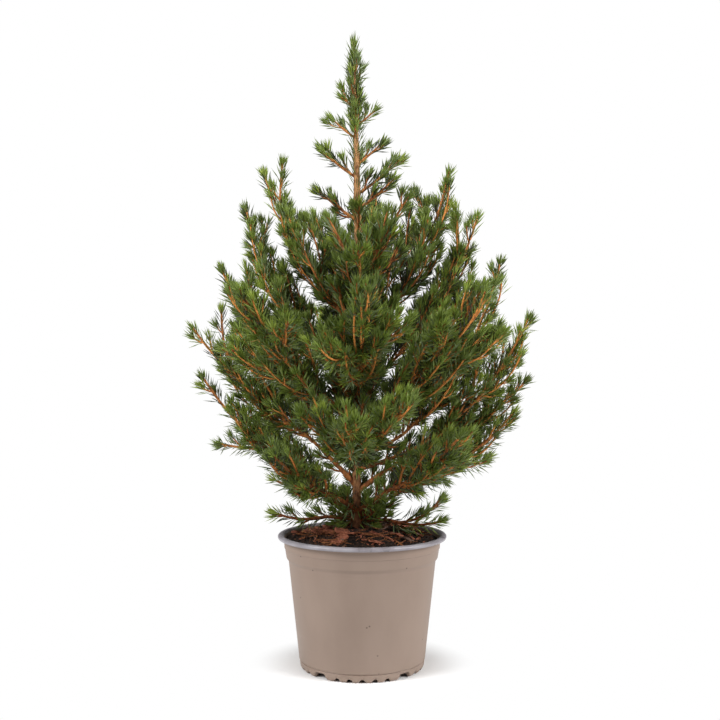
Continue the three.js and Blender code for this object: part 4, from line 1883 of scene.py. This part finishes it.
    def build_twigs(self) -> None:
        """Build the side shoots' wood, the outer ones paler."""
        recipe = twig_recipe()
        tones = {
            "twigs_young": BarkFinish("twig_young", srgb(216, 142, 70), srgb(162, 94, 40), 900),
            "twigs_old": BarkFinish("twig_old", srgb(176, 110, 54), srgb(104, 58, 28), 900),
        }
        small = [s for s in self.shoots if s.rank in (Rank.SIDE, Rank.TWIG)]
        for name, finish in tones.items():
            chosen = [s for s in small if (s.exposure > 0.55) == (name == "twigs_young")]
            base = self.lines([s.limb for s in chosen])
            dress(recipe.make(base, name, {"Sides": 5, "Material": finish.material()}))

    @staticmethod
    def lines(limbs: Sequence[Limb]) -> bpy.types.Object:
        """Make one mesh of open lines, with the wood's radius at each point.

        Args:
            limbs: The limbs whose paths the lines follow.

        Returns:
            The lines as an object.
        """
        points = np.vstack([limb.path.points for limb in limbs])
        counts = [len(limb.path.points) for limb in limbs]
        starts = np.concatenate(([0], np.cumsum(counts)[:-1]))
        edges = [(s + i, s + i + 1) for s, n in zip(starts.tolist(), counts) for i in range(n - 1)]
        mesh = bpy.data.meshes.new("lines")
        mesh.from_pydata(points.tolist(), edges, [])
        set_vectors(mesh, "thick", np.concatenate([limb.radii for limb in limbs]))
        return put("lines", mesh)

    def build_buds(self) -> None:
        """Build the bud at each shoot's tip."""
        rows = []
        for shoot in self.shoots:
            path = shoot.limb.path
            heading = path.heading(path.length)
            size = self.rng.uniform(0.8, 1.15) * (1.25 if shoot.rank in (Rank.BOUGH, Rank.LEADER) else 1.0)
            width, length = 0.95 * MM * size, 1.7 * MM * size
            side, _ = across_frames(heading[None, :])
            middle = path.points[-1] + heading * length * 0.5
            rows.append(np.concatenate((middle, heading, side[0], [width, width, length])))
        finish = BarkFinish("bud", srgb(162, 92, 44), srgb(104, 46, 24), 1500)
        made = bud_recipe().make(self.cloud(np.array(rows)), "buds", {"Material": finish.material()})
        dress(made)

    def build(self) -> None:
        """Grow the crown and build all its pieces."""
        names = [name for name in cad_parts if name.startswith(BOUGH)]
        for name in names:
            self.grow_bough(name.removeprefix(BOUGH))
        self.grow_leader()
        log.info("shoots: %d, %.1f m", len(self.shoots), sum(s.limb.path.length for s in self.shoots))
        self.build_boughs()
        self.build_twigs()
        self.build_buds()
        self.build_needles()


# ---- Stage ----


@dataclass
class Stage:
    """The floor, the soft lights and the camera.

    Attributes:
        distance: From the pot's axis to the camera.
        height: The camera's height over the floor.
        offset: The camera's place left or right of the pot's axis.
        tilt: How far it looks above level, in degrees.
        lens: Its focal length, in millimetres.
        haze: Strength of the even light from all round.
    """

    distance: float = 0.787
    height: float = 0.2315
    offset: float = -0.00165
    tilt: float = 0.19
    lens: float = 51.15
    haze: float = 0.12

    def camera(self) -> None:
        """Set the camera level with the crown's lower third."""
        data = bpy.data.cameras.new("camera")
        data.lens = self.lens
        data.sensor_width = 36.0
        made = put("camera", data)
        made.location = (self.offset, -self.distance, self.height)
        made.rotation_euler = (math.radians(90 + self.tilt), 0, 0)
        bpy.context.scene.camera = made

    def light(self, name: str, place: tuple[float, float, float], size: float, power: float) -> None:
        """Set one soft square light that faces the crown.

        Args:
            name: The light's name.
            place: Where it stands, in metres.
            size: The length of its side.
            power: Its power, in watts.
        """
        data = bpy.data.lights.new(name, "AREA")
        data.shape = "SQUARE"
        data.size = size
        data.energy = power
        made = put(name, data)
        made.location = place
        aim = Vector((0, 0, 0.25)) - Vector(place)
        made.rotation_euler = aim.to_track_quat("-Z", "Y").to_euler()

    def build(self) -> None:
        """Build the stage."""
        self.camera()
        corner_places = [(-9, -9, 0), (9, -9, 0), (9, 9, 0), (-9, 9, 0)]
        floor = mesh_object("floor", np.array(corner_places), [(0, 1, 2, 3)])
        floor.data.materials.append(StageFinish().material())
        world = bpy.data.worlds.new("studio")
        world.use_nodes = True
        nodes, links = world.node_tree.nodes, world.node_tree.links
        backdrop = nodes["Background"]
        backdrop.inputs["Color"].default_value = (1, 1, 1, 1)
        backdrop.inputs["Strength"].default_value = 1.0
        haze = nodes.new("ShaderNodeBackground")
        haze.inputs["Color"].default_value = (1, 1, 1, 1)
        haze.inputs["Strength"].default_value = self.haze
        seen = nodes.new("ShaderNodeLightPath").outputs["Is Camera Ray"]
        joined = nodes.new("ShaderNodeMixShader")
        links.new(seen, joined.inputs[0])
        links.new(haze.outputs[0], joined.inputs[1])
        links.new(backdrop.outputs[0], joined.inputs[2])
        links.new(joined.outputs[0], nodes["World Output"].inputs["Surface"])
        bpy.context.scene.world = world
        self.light("left", (-1.25, -0.7, 1.0), 0.7, 26)
        self.light("right", (1.3, -0.6, 0.85), 0.8, 24)
        self.light("top", (0.0, -0.35, 1.7), 0.7, 30)
        bpy.context.scene.view_settings.view_transform = "Standard"


def corners(box: Sequence[Any]) -> list[list[float]]:
    """Give a box as plain lists."""
    return [[float(x) for x in corner] for corner in box]


def main() -> None:
    """Build the pot, the soil, the plant and the stage."""
    logging.basicConfig(level=logging.INFO, format="%(name)s: %(message)s")
    Pot().build()
    Soil().build()
    trunk = Trunk()
    trunk.build()
    Crown(trunk).build()
    Stage().build()
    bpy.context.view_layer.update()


if __name__ == "__main__":
    main()
